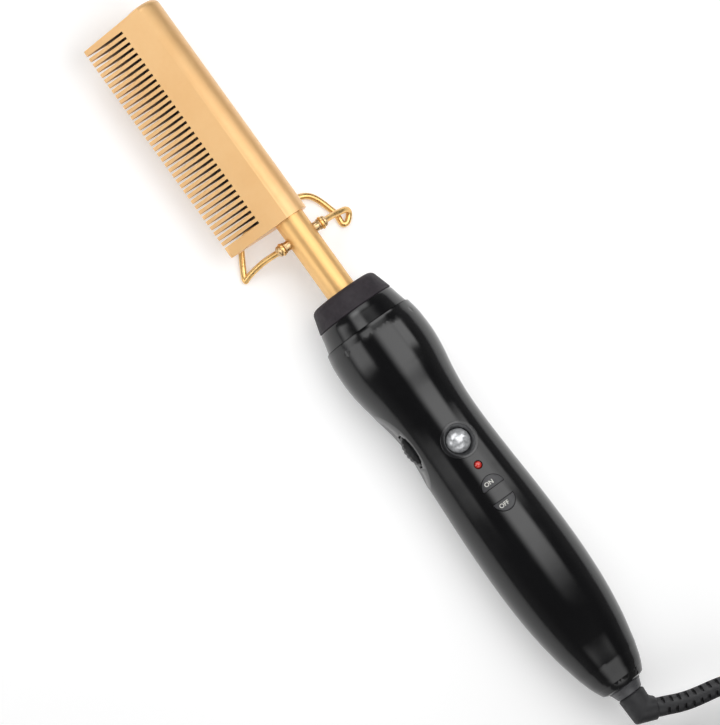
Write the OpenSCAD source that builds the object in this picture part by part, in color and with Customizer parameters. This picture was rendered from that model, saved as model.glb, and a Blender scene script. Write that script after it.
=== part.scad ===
// Electric hot comb: heated comb head on a metal neck, round glossy handle, wire stand and mains cord.
// Millimetres. +X runs from the handle to the comb's tip, +Y to the teeth, +Z up to the buttons.
// The origin is on the flat under the handle, so z = 0 is the table that the comb lies on.

/* [Comb head] */
// Length of the toothed plate from the rim at the neck to the tip
head_len = 89.4; // [60:0.1:120]
// Radius of the round spine of the head
barrel_r = 7.2; // [6.8:0.1:9]
// Radius of the rounding at the end of the spine
barrel_round = 2.6; // [0.5:0.1:3]
// How far the round spine reaches past the plate at the tip
barrel_proud = 0.5; // [0.5:0.1:4]
// Radius of the bore that holds the heater
heater_bore_r = 5.2; // [5:0.1:5.6]
// Depth of that bore from the rim
heater_bore_len = 78; // [70:0.5:84]
// Distance from the axis to the tips of the teeth
tooth_reach = 24.7; // [20:0.1:32]
// Distance from the axis to the roots of the slots
root_reach = 10.5; // [8.5:0.1:12]
// Thickness of the teeth at their tips
tip_t = 1.6; // [1:0.1:2.4]
// Number of slots between the teeth
slot_count = 37; // [10:1:37]
// Distance from one slot to the next
slot_pitch = 2.244; // [1.8:0.001:2.3]
// Width of a slot
slot_w = 0.95; // [0.6:0.05:1.2]
// Distance from the tip's edge, at the axis, to the middle of the first slot
first_slot = 4; // [2.8:0.1:6]
// Slant of the plate's edge at the tip, in degrees
tip_slant = 3.5; // [0:0.5:4]

/* [Neck] */
// Length of the neck that shows between head and collar
neck_len = 31.3; // [24:0.1:50]
// Outer radius of the neck tube
neck_r = 5.5; // [5:0.1:5.8]
// Wall of the neck tube
neck_wall = 0.7; // [0.5:0.05:1]
// How far the tube goes into the head
neck_in_head = 12; // [8:0.5:16]
// How far the tube goes into the handle, from the collar's front
neck_in_handle = 30.4; // [28:0.1:40]

/* [Collar and nose ring] */
// Length of the matt collar
collar_len = 8.4; // [8:0.1:14]
// Radius of the collar at its front edge
collar_front_r = 13.1; // [12:0.1:14]
// Rounding of the collar's front edge
collar_round = 2.4; // [0.8:0.1:3]
// Length of the glossy nose ring
nose_len = 7; // [5:0.1:9]
// Radius where collar and nose ring meet
seam_r = 14.95; // [14.5:0.05:15.5]
// Radius of the nose ring at the shells
nose_r = 16.4; // [15.8:0.1:16.6]

/* [Handle] */
// Height of the long axis over the flat under the handle
axis_h = 15; // [14.5:0.1:15]
// Distance from the middle of the flat to the front end of the nose ring
front_x = 60.3; // [58:0.1:64]
// Thickness of the shell walls
wall = 2; // [1.6:0.1:2.4]
// Angle over the horizontal at which the seam between the shells runs, in degrees
seam_angle = 40; // [36:1:42]
// Distance of the front shell's round lower end from the seam at the collar
face_end = 143.5; // [138:0.1:146]

/* [Controls] */
// Distance of the window's middle from the seam at the collar
window_at = 56.9; // [54:0.1:60]
// Outer radius of the window's bezel
bezel_r = 6.6; // [6:0.1:7]
// Radius of the domed window
window_r = 4.3; // [3.5:0.1:5]
// Distance of the pilot lamp from the seam at the collar
lamp_at = 67.5; // [66.5:0.1:69]
// Radius of the pilot lamp
lamp_r = 1.5; // [1.2:0.1:1.8]
// Distance of the middle of the button pair from the seam at the collar
buttons_at = 79.2; // [78:0.1:84]
// Radius of the round side of the button caps
button_r = 4.15; // [3.5:0.05:4.4]
// Bridge of shell between the two buttons
button_bridge = 5.3; // [4.5:0.1:7]
// Travel of a button
button_travel = 0.5; // [0.3:0.1:0.6]

/* [Temperature wheel] */
// Distance of the wheel's axis from the seam at the collar
wheel_at = 50.5; // [48:0.1:51]
// Distance of the wheel's axis from the middle towards the teeth
wheel_y = 4.5; // [4:0.1:5]
// Radius of the wheel
wheel_r = 10.5; // [10:0.1:10.8]
// Thickness of the wheel
wheel_t = 3.2; // [2.6:0.1:3.6]
// Number of grip notches round the wheel
wheel_notches = 36; // [18:1:48]
// Radius of the scoop in the shell's side round the wheel
scoop_r = 42.5; // [38:0.5:60]
// Distance from the middle to the floor of the scoop
scoop_y = 12.8; // [12.7:0.1:13.2]

/* [Stand] */
// Distance of the stand's pivots from the head's rim
pivot_back = 7.5; // [5.5:0.1:10]
// Radius of the stand's wire
wire_r = 1.15; // [0.9:0.05:1.3]
// Half the distance between the stand's feet
foot_y = 22.4; // [19:0.1:26]
// How far the crossbar lies in front of the pivots
crossbar_reach = 13.6; // [11:0.1:15]
// Radius of the pivot screws
pivot_screw_r = 1; // [0.8:0.05:1.2]
// Radius of the wire's eyes round the screws
eye_r = 2.4; // [2.1:0.1:2.8]

/* [Swivel and cord] */
// Radius of the grey swivel socket outside the handle
socket_r = 6.2; // [5.6:0.1:6.4]
// Length of the socket outside the handle
socket_len = 3.6; // [3:0.1:5]
// Radius of the elbow at the socket
elbow_r = 5; // [4.5:0.1:5.2]
// Turn of the elbow away from the handle's axis, in degrees
elbow_turn = 64; // [50:1:75]
// Radius of the ribbed strain relief at the elbow
boot_r = 3.4; // [3.2:0.05:3.8]
// Number of ribs on the strain relief
boot_ribs = 15; // [8:1:18]
// Diameter of the cord
cord_d = 5; // [4.6:0.1:5.2]
// Turns of cord in one of the coil's four layers
layer_turns = 2.28125; // [1.28125:0.25:3.28125]
// Radius of the coil at the middle of its turns
coil_r = 29.8; // [29:0.1:31]
// Gap between neighbouring turns of the coil
turn_gap = 0.45; // [0.42:0.01:0.7]
// Width of the tie round the coil
tie_w = 8; // [5:0.5:12]
// Length of the plug's moulded body
plug_len = 30; // [26:0.5:36]
// Width of the plug's moulded body
plug_w = 24; // [22:0.5:28]
// Thickness of the plug's moulded body
plug_t = 14; // [12:0.5:16]
// Length of the plug's blades
blade_len = 16.5; // [15.9:0.1:18.3]

/* [Clearances] */
// Radial clearance of fixed round fits
fit = 0.05; // [0.03:0.01:0.08]
// Radial clearance of running fits
run = 0.1; // [0.08:0.01:0.15]
// Gap round moving caps and between parts that only pass each other
gap = 0.3; // [0.25:0.05:0.4]

/* [Hidden] */
$fn = 64;

// Clearance of pressed and threaded round fits.
touch = 0.02;

// Places along X, all measured from the front end of the nose ring.
collar_x = front_x + collar_len;
rim_x = collar_x + neck_len;
tip_x = rim_x + head_len;
pivot_x = rim_x - pivot_back;
shell_x = front_x - nose_len;
window_x = front_x - window_at;
lamp_x = front_x - lamp_at;
buttons_x = front_x - buttons_at;
wheel_x = front_x - wheel_at;

// Handle outline: distance from the collar seam and radius there.
outline = [
  [7, 17.1], [11, 17.9], [19, 18.25], [26, 17.7], [36, 16.05], [45, 15.15], [56, 15.05], [70, 15.55],
  [85, 16.3], [100, 16.7], [113, 16.6], [126, 15.8], [138, 14.15], [148, 11.95], [154, 10.1], [157.4, 8.3]
];
outline_step = 2.5;
handle_len = outline[len(outline) - 1][0];
tail_x = front_x - handle_len;
tail_round = 0.6;
cavity_end = handle_len - 3.4;

// Smooth curve from b to c, with a and d before and after them.
function bent(a, b, c, d, t) =
  b + 0.5 * t * (c - a + t * (2 * a - 5 * b + 4 * c - d + t * (3 * (b - c) + d - a)));
// Radius of the handle at distance u from the collar seam.
function span(u) = max([for (i = [0:len(outline) - 2]) outline[i][0] <= u ? i : 0]);
function r_at(u) =
  let (
    n = len(outline),
    i = span(u),
    p = outline[max(i - 1, 0)], q = outline[i], r = outline[i + 1], s = outline[min(i + 2, n - 1)],
    t = max(0, (u - q[0]) / (r[0] - q[0]))
  )
  bent(p[1], q[1], r[1], s[1], t);
// Height of the handle's surface over the axis, or its depth under it, at distance u and y, w inside.
function top_h(u, y, w = 0) = sqrt(pow(r_at(u) - w, 2) - y * y);
function under_h(u, y, w = 0) = min(axis_h - w, top_h(u, y, w));

// Solid through rings of points, all with the same number of points.
function loft_faces(m, n) = concat(
  [[for (k = [0:n - 1]) k]],
  [for (i = [0:m - 2], k = [0:n - 1]) [i * n + k, (i + 1) * n + k, (i + 1) * n + (k + 1) % n]],
  [for (i = [0:m - 2], k = [0:n - 1]) [i * n + k, (i + 1) * n + (k + 1) % n, i * n + (k + 1) % n]],
  [[for (k = [n - 1:-1:0]) (m - 1) * n + k]]
);
module loft(rings) {
  polyhedron([for (r = rings) each r], loft_faces(len(rings), len(rings[0])), convexity = 8);
}

// Tube along points: a ring square to the route at each one, with its own radius.
function unit(v) = v / norm(v);
function heading(p, i) = unit(p[min(i + 1, len(p) - 1)] - p[max(i - 1, 0)]);
function side(h) = unit(cross([0, 0, 1], h));
function tube_ring(p, h, r, n) =
  let (a = side(h), b = cross(h, a))
  [for (k = [0:n - 1]) p + r * (cos(360 * (k + 0.5) / n) * a + sin(360 * (k + 0.5) / n) * b)];
module tube(p, r, n) {
  loft([for (i = [0:len(p) - 1]) tube_ring(p[i], heading(p, i), is_list(r) ? r[i] : r, n)]);
}
// Points of a smooth curve through hand-set points, s steps from one to the next.
function smooth(p, s) = [
  for (i = [0:len(p) - 2], j = [0:s - 1])
    bent(p[max(i - 1, 0)], p[i], p[i + 1], p[min(i + 2, len(p) - 1)], j / s),
  p[len(p) - 1]
];
function sum(v) = v * [for (x = v) 1];
function route_len(p) = sum([for (i = [1:len(p) - 1]) norm(p[i] - p[i - 1])]);

module on_axis(x) {
  translate([x, 0, axis_h]) rotate([0, 90, 0]) children();
}
// Round piece along X from x0 to x1, about the long axis.
module bar(x0, x1, r) {
  on_axis(min(x0, x1)) cylinder(r = r, h = abs(x1 - x0));
}
// Round piece along Z from z0 to z1, heights over the long axis.
module post(x, y, z0, z1, r) {
  translate([x, y, axis_h + z0]) cylinder(r = r, h = z1 - z0);
}
// Box with heights over the long axis.
module block(x0, x1, y0, y1, z0, z1) {
  translate([x0, y0, axis_h + z0]) cube([x1 - x0, y1 - y0, z1 - z0]);
}
module both_sides() {
  children();
  mirror([0, 1, 0]) children();
}

// ---- Comb head and heater ----
bar_x = rim_x + neck_in_head;
tangent = atan2(tip_t / 2, tooth_reach) + acos(barrel_r / tooth_reach);
blade_at = tooth_reach - tip_t / 2;
far_end = 60;
spreader_r = heater_bore_r - gap / 2;
spreader_len = heater_bore_len - neck_in_head - 4;
spreader_x = bar_x + 1.5;
film_w = 8;
film_t = 3;
film_wall = 0.2;
electrode_t = 0.3;
element_w = film_w - 2 * film_wall - 2 * fit;
element_t = film_t - 2 * film_wall - 2 * electrode_t - 4 * fit;
element_len = spreader_len - 8;
sensor_r = 0.8;
sensor_len = 8;
element_x = spreader_x + 3;
sensor_z = -3.2;

module comb_head() {
  color([0.93, 0.74, 0.5]) difference() {
    union() {
      on_axis(rim_x) rotate_extrude() {
        square([barrel_r - barrel_round, head_len + barrel_proud]);
        square([barrel_r, head_len + barrel_proud - barrel_round]);
        translate([barrel_r - barrel_round, head_len + barrel_proud - barrel_round])
          intersection() {
            circle(r = barrel_round);
            square(barrel_round);
          }
      }
      difference() {
        translate([rim_x, 0, axis_h]) rotate([90, 0, 90]) linear_extrude(head_len) {
          polygon([
            [0, 0],
            [barrel_r * cos(tangent), barrel_r * sin(tangent)],
            [blade_at, tip_t / 2],
            [blade_at, -tip_t / 2],
            [barrel_r * cos(tangent), -barrel_r * sin(tangent)]
          ]);
          translate([blade_at, 0]) circle(r = tip_t / 2);
        }
        translate([tip_x, 0, 0]) rotate([0, 0, tip_slant]) cube([far_end, far_end, 2 * axis_h]);
      }
    }
    for (i = [0:slot_count - 1]) {
      middle = tip_x - first_slot - i * slot_pitch;
      block(middle - slot_w / 2, middle + slot_w / 2, root_reach, tooth_reach + 1, -barrel_r, barrel_r);
    }
    bar(rim_x - 1, rim_x + heater_bore_len, heater_bore_r);
    bar(rim_x - 1, bar_x, neck_r + fit);
  }
}

module spreader_half() {
  difference() {
    bar(spreader_x, spreader_x + spreader_len, spreader_r);
    block(spreader_x - 1, spreader_x + spreader_len + 1, -barrel_r, barrel_r, -barrel_r, 0);
    block(spreader_x - 1, spreader_x + spreader_len - 2,
      -film_w / 2 - fit, film_w / 2 + fit, -1, film_t / 2 + fit);
  }
}
module heat_spreader_upper() {
  color([0.78, 0.79, 0.8]) translate([0, 0, fit / 2]) spreader_half();
}
module heat_spreader_lower() {
  color([0.78, 0.79, 0.8]) difference() {
    translate([0, 0, 2 * axis_h - fit / 2]) mirror([0, 0, 1]) spreader_half();
    translate([spreader_x - 1, 0, axis_h + sensor_z]) rotate([0, 90, 0])
      cylinder(r = sensor_r + fit, h = sensor_len + 4);
  }
}
module heater_element() {
  color([0.55, 0.5, 0.42])
    block(element_x, element_x + element_len, -element_w / 2, element_w / 2, -element_t / 2, element_t / 2);
}
module heater_electrodes() {
  z0 = element_t / 2 + fit;
  color([0.8, 0.62, 0.35]) for (s = [0, 1]) translate([0, 0, s * -(2 * z0 + electrode_t)])
    block(spreader_x + 1, element_x + element_len, -element_w / 2, element_w / 2, z0, z0 + electrode_t);
}
module insulation_film() {
  color([0.85, 0.6, 0.2, 0.8]) difference() {
    block(spreader_x + 0.5, spreader_x + spreader_len - 3,
      -film_w / 2, film_w / 2, -film_t / 2, film_t / 2);
    block(spreader_x, spreader_x + spreader_len, -film_w / 2 + film_wall, film_w / 2 - film_wall,
      -film_t / 2 + film_wall, film_t / 2 - film_wall);
  }
}
module temperature_sensor() {
  color([0.2, 0.2, 0.2]) translate([spreader_x + 0.2, 0, axis_h + sensor_z]) rotate([0, 90, 0])
    cylinder(r = sensor_r, h = sensor_len);
}

// ---- Neck ----
tube_end = collar_x - neck_in_handle;
insulator_r = 8.5;
insulator_x0 = tube_end + 3;
insulator_x1 = collar_x - 4.3;
rib_x = insulator_x0 + 3;

module neck_tube() {
  color([0.85, 0.66, 0.38]) difference() {
    bar(tube_end, bar_x - fit, neck_r);
    bar(tube_end - 1, bar_x + 1, neck_r - neck_wall);
  }
}
module neck_insulator() {
  color([0.92, 0.9, 0.85]) difference() {
    union() {
      bar(insulator_x0, insulator_x1, insulator_r);
      bar(rib_x + 2 + gap, rib_x + 4, insulator_r + 1.5);
      bar(rib_x - 2, rib_x - gap, insulator_r + 1.5);
    }
    bar(insulator_x0 - 1, insulator_x1 + 1, neck_r + fit);
  }
}
lead_r = 0.7;
thin_lead_r = 0.45;
board_z = -6.4;
board_t = 1.6;
board_front = front_x - 36;
board_back = front_x - 118;
function wire_route(y, z, x_in, x_out) = smooth([
  [x_in, y, axis_h + z], [rim_x, y, axis_h + z], [pivot_x - 10, y, axis_h + z],
  [tube_end + 2, y, axis_h + z],
  [tube_end - 4, y, axis_h + z - 0.6], [x_out + 6, y * 1.6, axis_h + board_z + board_t + 1.6],
  [x_out, y * 1.6, axis_h + board_z + board_t + 1]
], 3);
module heater_leads() {
  color([0.9, 0.9, 0.88]) for (s = [-1, 1])
    tube(wire_route(s * 2.2, s * 0.6, spreader_x + 0.4, board_front - 2), lead_r, 8);
}
module sensor_leads() {
  color([0.8, 0.75, 0.3]) for (s = [-1, 1])
    tube(wire_route(s * 0.6, sensor_z, spreader_x - 0.1, board_front - 2), thin_lead_r, 8);
}

// ---- Wire stand ----
spacer_r = 1.8;
spacer_y = neck_r + 1.7;
washer_r = 2.1;
washer_t = 0.4;
slit_w = 0.5;
eye_t = 1.4;
washer_y = spacer_y + fit;
eye_y = washer_y + washer_t + run;
screw_head_y = eye_y + eye_t + run;
screw_head_r = 2;
screw_head_t = 1.5;
foot_z = wire_r - axis_h;
foot_x = pivot_x - 0.6;
cross_x = pivot_x + crossbar_reach;

// The wire on the teeth's side, from the eye down to the foot and along the table to the crossbar.
eye_stub = [pivot_x, eye_y + eye_t / 2, axis_h - eye_r + 0.5];
function stand_half() = concat(
  [eye_stub],
  smooth([
    [pivot_x, eye_y + eye_t / 2 + 0.1, axis_h - eye_r - 0.4],
    [pivot_x + 0.4, foot_y * 0.5, axis_h + foot_z * 0.33],
    [pivot_x + 0.7, foot_y * 0.68, axis_h + foot_z * 0.6],
    [pivot_x + 0.2, foot_y * 0.88, axis_h + foot_z * 0.86],
    [foot_x + 0.2, foot_y - 0.5, axis_h + foot_z * 0.97],
    [foot_x, foot_y, axis_h + foot_z]
  ], 3),
  [[foot_x + 0.9, foot_y - 0.1, axis_h + foot_z]],
  smooth([
    [foot_x + 3, foot_y * 0.95, axis_h + foot_z],
    [foot_x + crossbar_reach * 0.62, foot_y * 0.81, axis_h + foot_z],
    [cross_x - crossbar_reach * 0.16, foot_y * 0.7, axis_h + foot_z],
    [cross_x - crossbar_reach * 0.05, foot_y * 0.5, axis_h + foot_z],
    [cross_x, foot_y * 0.25, axis_h + foot_z]
  ], 3)
);
// The wire on the other side: this foot turns back in a loop before it runs on to the crossbar.
function looped_half() = concat(
  [eye_stub],
  smooth([
    [pivot_x, eye_y + eye_t / 2 + 0.1, axis_h - eye_r - 0.4],
    [pivot_x + 0.4, foot_y * 0.5, axis_h + foot_z * 0.33],
    [pivot_x + 0.5, foot_y * 0.68, axis_h + foot_z * 0.54],
    [pivot_x + 0.2, foot_y * 0.86, axis_h + foot_z * 0.72],
    [pivot_x - 0.2, foot_y * 0.955, axis_h + foot_z * 0.86],
    [pivot_x - 1.4, foot_y * 0.975, axis_h + foot_z * 0.97],
    [pivot_x - 3, foot_y * 0.92, axis_h + foot_z],
    [pivot_x - 3.9, foot_y * 0.85, axis_h + foot_z],
    [pivot_x - 3.1, foot_y * 0.79, axis_h + foot_z],
    [pivot_x + 0.4, foot_y * 0.8, axis_h + foot_z]
  ], 2),
  smooth([
    [pivot_x + 2.4, foot_y * 0.78, axis_h + foot_z],
    [pivot_x + crossbar_reach * 0.6, foot_y * 0.7, axis_h + foot_z],
    [cross_x - crossbar_reach * 0.15, foot_y * 0.6, axis_h + foot_z],
    [cross_x - crossbar_reach * 0.03, foot_y * 0.44, axis_h + foot_z],
    [cross_x, foot_y * 0.2, axis_h + foot_z]
  ], 3)
);
function mirrored_back(p) = [for (i = [len(p) - 1:-1:0]) [p[i][0], -p[i][1], p[i][2]]];
// Round piece square to the middle plane, on the pivots' line, its outer end at y.
module pin(y, r, h) {
  translate([pivot_x, y, axis_h]) rotate([90, 0, 0]) cylinder(r = r, h = h);
}

module pivot_spacers() {
  color([0.85, 0.66, 0.38]) both_sides() difference() {
    pin(spacer_y, spacer_r, spacer_y);
    bar(pivot_x - 2 * spacer_r, pivot_x + 2 * spacer_r, neck_r + touch);
    pin(spacer_y + 1, pivot_screw_r + fit, spacer_y);
  }
}
module pivot_washers() {
  color([0.75, 0.6, 0.4]) both_sides() difference() {
    pin(washer_y + washer_t, washer_r, washer_t);
    pin(washer_y + washer_t + 1, pivot_screw_r + fit, washer_t + 2);
  }
}
module pivot_screws() {
  shank = screw_head_y - neck_r - 0.2;
  color([0.7, 0.55, 0.35]) both_sides() difference() {
    union() {
      pin(screw_head_y, pivot_screw_r, shank);
      intersection() {
        pin(screw_head_y + screw_head_t, screw_head_r, screw_head_t);
        translate([pivot_x, screw_head_y + screw_head_t - screw_head_r * 1.2, axis_h])
          sphere(r = screw_head_r * 1.25);
      }
    }
    translate([pivot_x - slit_w / 2, screw_head_y + screw_head_t - slit_w, axis_h - 3])
      cube([slit_w, 2, 6]);
  }
}
module stand_wire() {
  color([0.9, 0.72, 0.45]) difference() {
    union() {
      tube(
        concat(stand_half(), [[cross_x + 0.1, 0, axis_h + foot_z]], mirrored_back(looped_half())),
        wire_r, 10);
      both_sides() pin(eye_y + eye_t, eye_r, eye_t);
    }
    both_sides() {
      pin(eye_y + eye_t + 3, pivot_screw_r + run, eye_t + 3.5);
      pin(screw_head_y + 2 * screw_head_t, screw_head_r + run, 2 * screw_head_t + run / 2);
      pin(eye_y, washer_r + run, screw_head_t);
    }
  }
}

// ---- Collar, nose ring and shells ----
spigot = 3.5;
collar_spigot_r = 11.9;
ring_spigot_r = 14.3;
module front_collar() {
  color([0.14, 0.12, 0.14]) on_axis(0) difference() {
    rotate_extrude() {
      polygon([
        [0, front_x - spigot], [collar_spigot_r, front_x - spigot], [collar_spigot_r, front_x],
        [seam_r - 0.15, front_x],
        [collar_front_r, collar_x - collar_round], [collar_front_r - collar_round, collar_x], [0, collar_x]
      ]);
      translate([collar_front_r - collar_round, collar_x - collar_round]) circle(r = collar_round);
    }
    translate([0, 0, front_x - 5])
      cylinder(r = insulator_r + 2 * fit, h = insulator_x1 + 0.2 - front_x + 5);
    translate([0, 0, front_x]) cylinder(r = neck_r + 2 * fit, h = collar_len + 2);
  }
}
module nose_ring() {
  color([0.05, 0.05, 0.06]) on_axis(0) difference() {
    rotate_extrude() polygon([
      [0, shell_x - spigot], [ring_spigot_r, shell_x - spigot], [ring_spigot_r, shell_x], [nose_r, shell_x],
      [nose_r - 0.5, shell_x + 2.2], [seam_r + 0.35, front_x - 2.4], [seam_r, front_x - 0.6],
      [seam_r - 0.2, front_x], [0, front_x]
    ]);
    translate([0, 0, shell_x - 5]) cylinder(r = collar_spigot_r + fit, h = nose_len + 6);
    translate([axis_h, -50, shell_x - 5]) cube([50, 100, 50]);
    translate([axis_h - wall - gap, -50, shell_x - 5]) cube([50, 100, 5]);
  }
}

cover_round = 5;
post_top = 6.5;
screw_spots = [[front_x - 24, 9], [front_x - 24, -9], [front_x - 131, 0]];
screw_r = 1.3;
shell_head_r = 2.5;
shell_head_t = 1.8;
cross_slot = 0.7;
head_deep = 6;
boss_r = 3;
post_r = 3.4;
board_post_r = 2.6;
boss_under = 0.6;
board_spots = [[board_front - 5.5, -6.5], [board_back + 6, 0]];
board_screw_r = 0.95;
cap_gap = 0.2;
button_spread = button_bridge / 2;
wheel_slot = wheel_t / 2 + 0.6;
tail_hole_r = 5;
scoop_back = 7.2;
face_z = r_at(buttons_at);

// The handle's turned form between two distances from the collar seam, drawn in by w.
module handle_form(w, from, to) {
  steps = ceil((to - from) / outline_step);
  on_axis(0) rotate_extrude() polygon([
    [0, front_x - to],
    for (i = [steps:-1:0]) let (u = from + (to - from) * i / steps) [r_at(u) - w, front_x - u],
    [0, front_x - from]
  ]);
}
module under(z) {
  translate([-200, -50, -50]) cube([400, 100, 50 + z]);
}
module shell_blank() {
  difference() {
    union() {
      handle_form(0, nose_len, handle_len);
      on_axis(tail_x - tail_round)
        cylinder(r1 = r_at(handle_len) - 2 * tail_round, r2 = r_at(handle_len), h = tail_round);
    }
    difference() {
      handle_form(wall, nose_len - 1, cavity_end);
      under(wall);
      bar(rib_x + gap / 2, rib_x + 2 - gap / 2, r_at(nose_len) + 5);
      block(wheel_x - 9, wheel_x + 9, scoop_y - wall, scoop_y + 5, -scoop_back, scoop_back);
    }
    under(0);
    bar(rib_x - 1, rib_x + 3, insulator_r + fit);
    bar(tail_x - 5, tail_x + 10, tail_hole_r + fit);
    translate([wheel_x, scoop_y + scoop_r, axis_h - 20]) cylinder(r = scoop_r, h = 40);
    post(wheel_x, wheel_y, -wheel_slot, wheel_slot, wheel_r + 0.6);
  }
}
// What belongs to the front shell: a sector about the axis that ends straight, with round corners.
module cover_space() {
  end_x = front_x - face_end;
  corner_y = r_at(face_end - cover_round) * cos(seam_angle) - cover_round;
  far = 60;
  intersection() {
    translate([end_x - 1, 0, axis_h]) rotate([90, 0, 90]) linear_extrude(face_end) polygon([
      [0, 0], [far * cos(seam_angle), far * sin(seam_angle)], [0, 2 * far],
      [-far * cos(seam_angle), far * sin(seam_angle)]
    ]);
    translate([0, 0, axis_h]) linear_extrude(far) {
      translate([end_x + cover_round, -far]) square([face_end, 2 * far]);
      translate([end_x, -corner_y]) square([cover_round + 1, 2 * corner_y]);
      for (s = [-1, 1]) translate([end_x + cover_round, s * corner_y]) circle(r = cover_round);
    }
  }
}
module d_cap(side, r, z0, z1) {
  flat_x = button_spread + button_r - r;
  intersection() {
    post(buttons_x + side * button_spread, 0, z0, z1, r);
    block(
      side > 0 ? buttons_x + flat_x : buttons_x - 20, side > 0 ? buttons_x + 20 : buttons_x - flat_x,
      -10, 10, z0 - 1, z1 + 1);
  }
}

module front_shell() {
  color([0.04, 0.04, 0.05]) difference() {
    union() {
      intersection() {
        shell_blank();
        cover_space();
      }
      for (s = screw_spots)
        post(s[0], s[1], post_top, top_h(front_x - s[0], abs(s[1]) + boss_r) - boss_under, boss_r);
    }
    for (s = screw_spots)
      post(s[0], s[1], post_top - 1, top_h(front_x - s[0], abs(s[1])) - wall + 0.4, screw_r + touch);
    post(window_x, 0, 0, 30, bezel_r + fit);
    post(lamp_x, 0, 0, 30, lamp_r + fit);
    for (side = [-1, 1]) d_cap(side, button_r + cap_gap, 0, 30);
  }
}
module back_shell() {
  color([0.04, 0.04, 0.05]) difference() {
    union() {
      difference() {
        shell_blank();
        cover_space();
      }
      for (s = screw_spots)
        post(s[0], s[1], -under_h(front_x - s[0], abs(s[1]) + post_r) + boss_under, post_top, post_r);
      for (s = board_spots)
        post(s[0], s[1], -under_h(front_x - s[0], abs(s[1]) + board_post_r) + boss_under, board_z,
          board_post_r);
    }
    for (s = screw_spots) {
      post(s[0], s[1], -20, post_top + 1, screw_r + 0.2);
      post(s[0], s[1], -20, -under_h(front_x - s[0], abs(s[1])) + head_deep, shell_head_r + gap);
    }
    for (s = board_spots) post(s[0], s[1], board_z - 4.5, board_z + 1, board_screw_r + touch);
  }
}
module shell_screws() {
  color([0.3, 0.3, 0.32]) for (s = screw_spots) {
    z0 = -under_h(front_x - s[0], abs(s[1])) + head_deep - touch;
    arm = shell_head_r - 0.8;
    difference() {
      union() {
        post(s[0], s[1], z0, top_h(front_x - s[0], abs(s[1])) - wall - 0.1, screw_r);
        post(s[0], s[1], z0 - shell_head_t, z0, shell_head_r);
      }
      block(s[0] - arm, s[0] + arm, s[1] - cross_slot / 2, s[1] + cross_slot / 2, z0 - 3, z0 - 1);
      block(s[0] - cross_slot / 2, s[0] + cross_slot / 2, s[1] - arm, s[1] + arm, z0 - 3, z0 - 1);
    }
  }
}

// ---- Window, temperature wheel and lamp ----
proud = 0.35;
bezel_top = r_at(window_at) + proud;
bezel_low = bezel_top - 5.2;
funnel_deep = 3.2;
funnel_wide = 1.6;
lens_sunk = 0.85;
lens_dome = window_r * 1.25;
dial_t = 0.4;
wheel_rim = 2.6;
notch_r = 0.55;
hub_r = 1.5;

module window_bezel() {
  color([0.05, 0.05, 0.06]) difference() {
    intersection() {
      post(window_x, 0, bezel_low, bezel_top + 1, bezel_r);
      handle_form(-proud, window_at - 10, window_at + 10);
    }
    post(window_x, 0, bezel_low - 1, bezel_top + 1, window_r + fit);
    translate([window_x, 0, axis_h + bezel_top - funnel_deep])
      cylinder(r1 = window_r, r2 = window_r + funnel_wide, h = funnel_deep + 0.2);
  }
}
module window_lens() {
  color([0.8, 0.84, 0.86, 0.5]) intersection() {
    post(window_x, 0, bezel_low, bezel_top, window_r);
    translate([window_x, 0, axis_h + bezel_top - lens_sunk - lens_dome]) sphere(r = lens_dome);
  }
}
module temperature_wheel() {
  color([0.08, 0.08, 0.09]) difference() {
    post(wheel_x, wheel_y, -wheel_t / 2, wheel_t / 2, wheel_r);
    post(wheel_x, wheel_y, -wheel_t, wheel_t, hub_r + touch);
    post(wheel_x, wheel_y, wheel_t / 2 - dial_t, wheel_t, wheel_r - wheel_rim + fit);
    for (i = [0:wheel_notches - 1]) rotate_about(wheel_x, wheel_y, i * 360 / wheel_notches)
      post(wheel_x + wheel_r + notch_r / 2, wheel_y, -wheel_t, wheel_t, notch_r);
  }
}
module rotate_about(x, y, a) {
  translate([x, y, 0]) rotate([0, 0, a]) translate([-x, -y, 0]) children();
}
module dial_plate() {
  color([0.8, 0.8, 0.8]) difference() {
    post(wheel_x, wheel_y, wheel_t / 2 - dial_t + touch, wheel_t / 2, wheel_r - wheel_rim);
    post(wheel_x, wheel_y, 0, wheel_t, hub_r + 1);
  }
}
pot_r = 4.6;
pot_top = -wheel_t / 2 - gap;
module potentiometer() {
  color([0.2, 0.35, 0.6]) {
    post(wheel_x, wheel_y, board_z + board_t, pot_top, pot_r);
    post(wheel_x, wheel_y, pot_top - 0.1, wheel_t / 2 - dial_t - 0.2, hub_r - touch / 2);
  }
}
lamp_len = 5;
lamp_legs = 0.9;
lamp_top = r_at(lamp_at) + 0.5;
module pilot_lamp() {
  color([0.85, 0.08, 0.06]) {
    post(lamp_x, 0, lamp_top - lamp_len, lamp_top - lamp_r, lamp_r);
    translate([lamp_x, 0, axis_h + lamp_top - lamp_r]) intersection() {
      sphere(r = lamp_r);
      translate([0, 0, -lamp_r / 4]) cylinder(r = lamp_r, h = 2 * lamp_r);
    }
    for (s = [-1, 1]) post(lamp_x, s * lamp_legs, board_z + board_t, lamp_top - lamp_len + 0.1, 0.3);
  }
}

// ---- Buttons and switches ----
flange = 0.7;
cap_low = top_h(buttons_at, button_r + flange, wall) - gap;
switch_h = 3.5;
switch_w = 6;
plunger_top = board_z + board_t + switch_h + 0.9;
switch_floor = 0.8;
stem_r = 1.4;
plunger_r = 1.6;
function stem_x(side) = buttons_x + side * (button_spread + button_r * 0.42);

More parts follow.
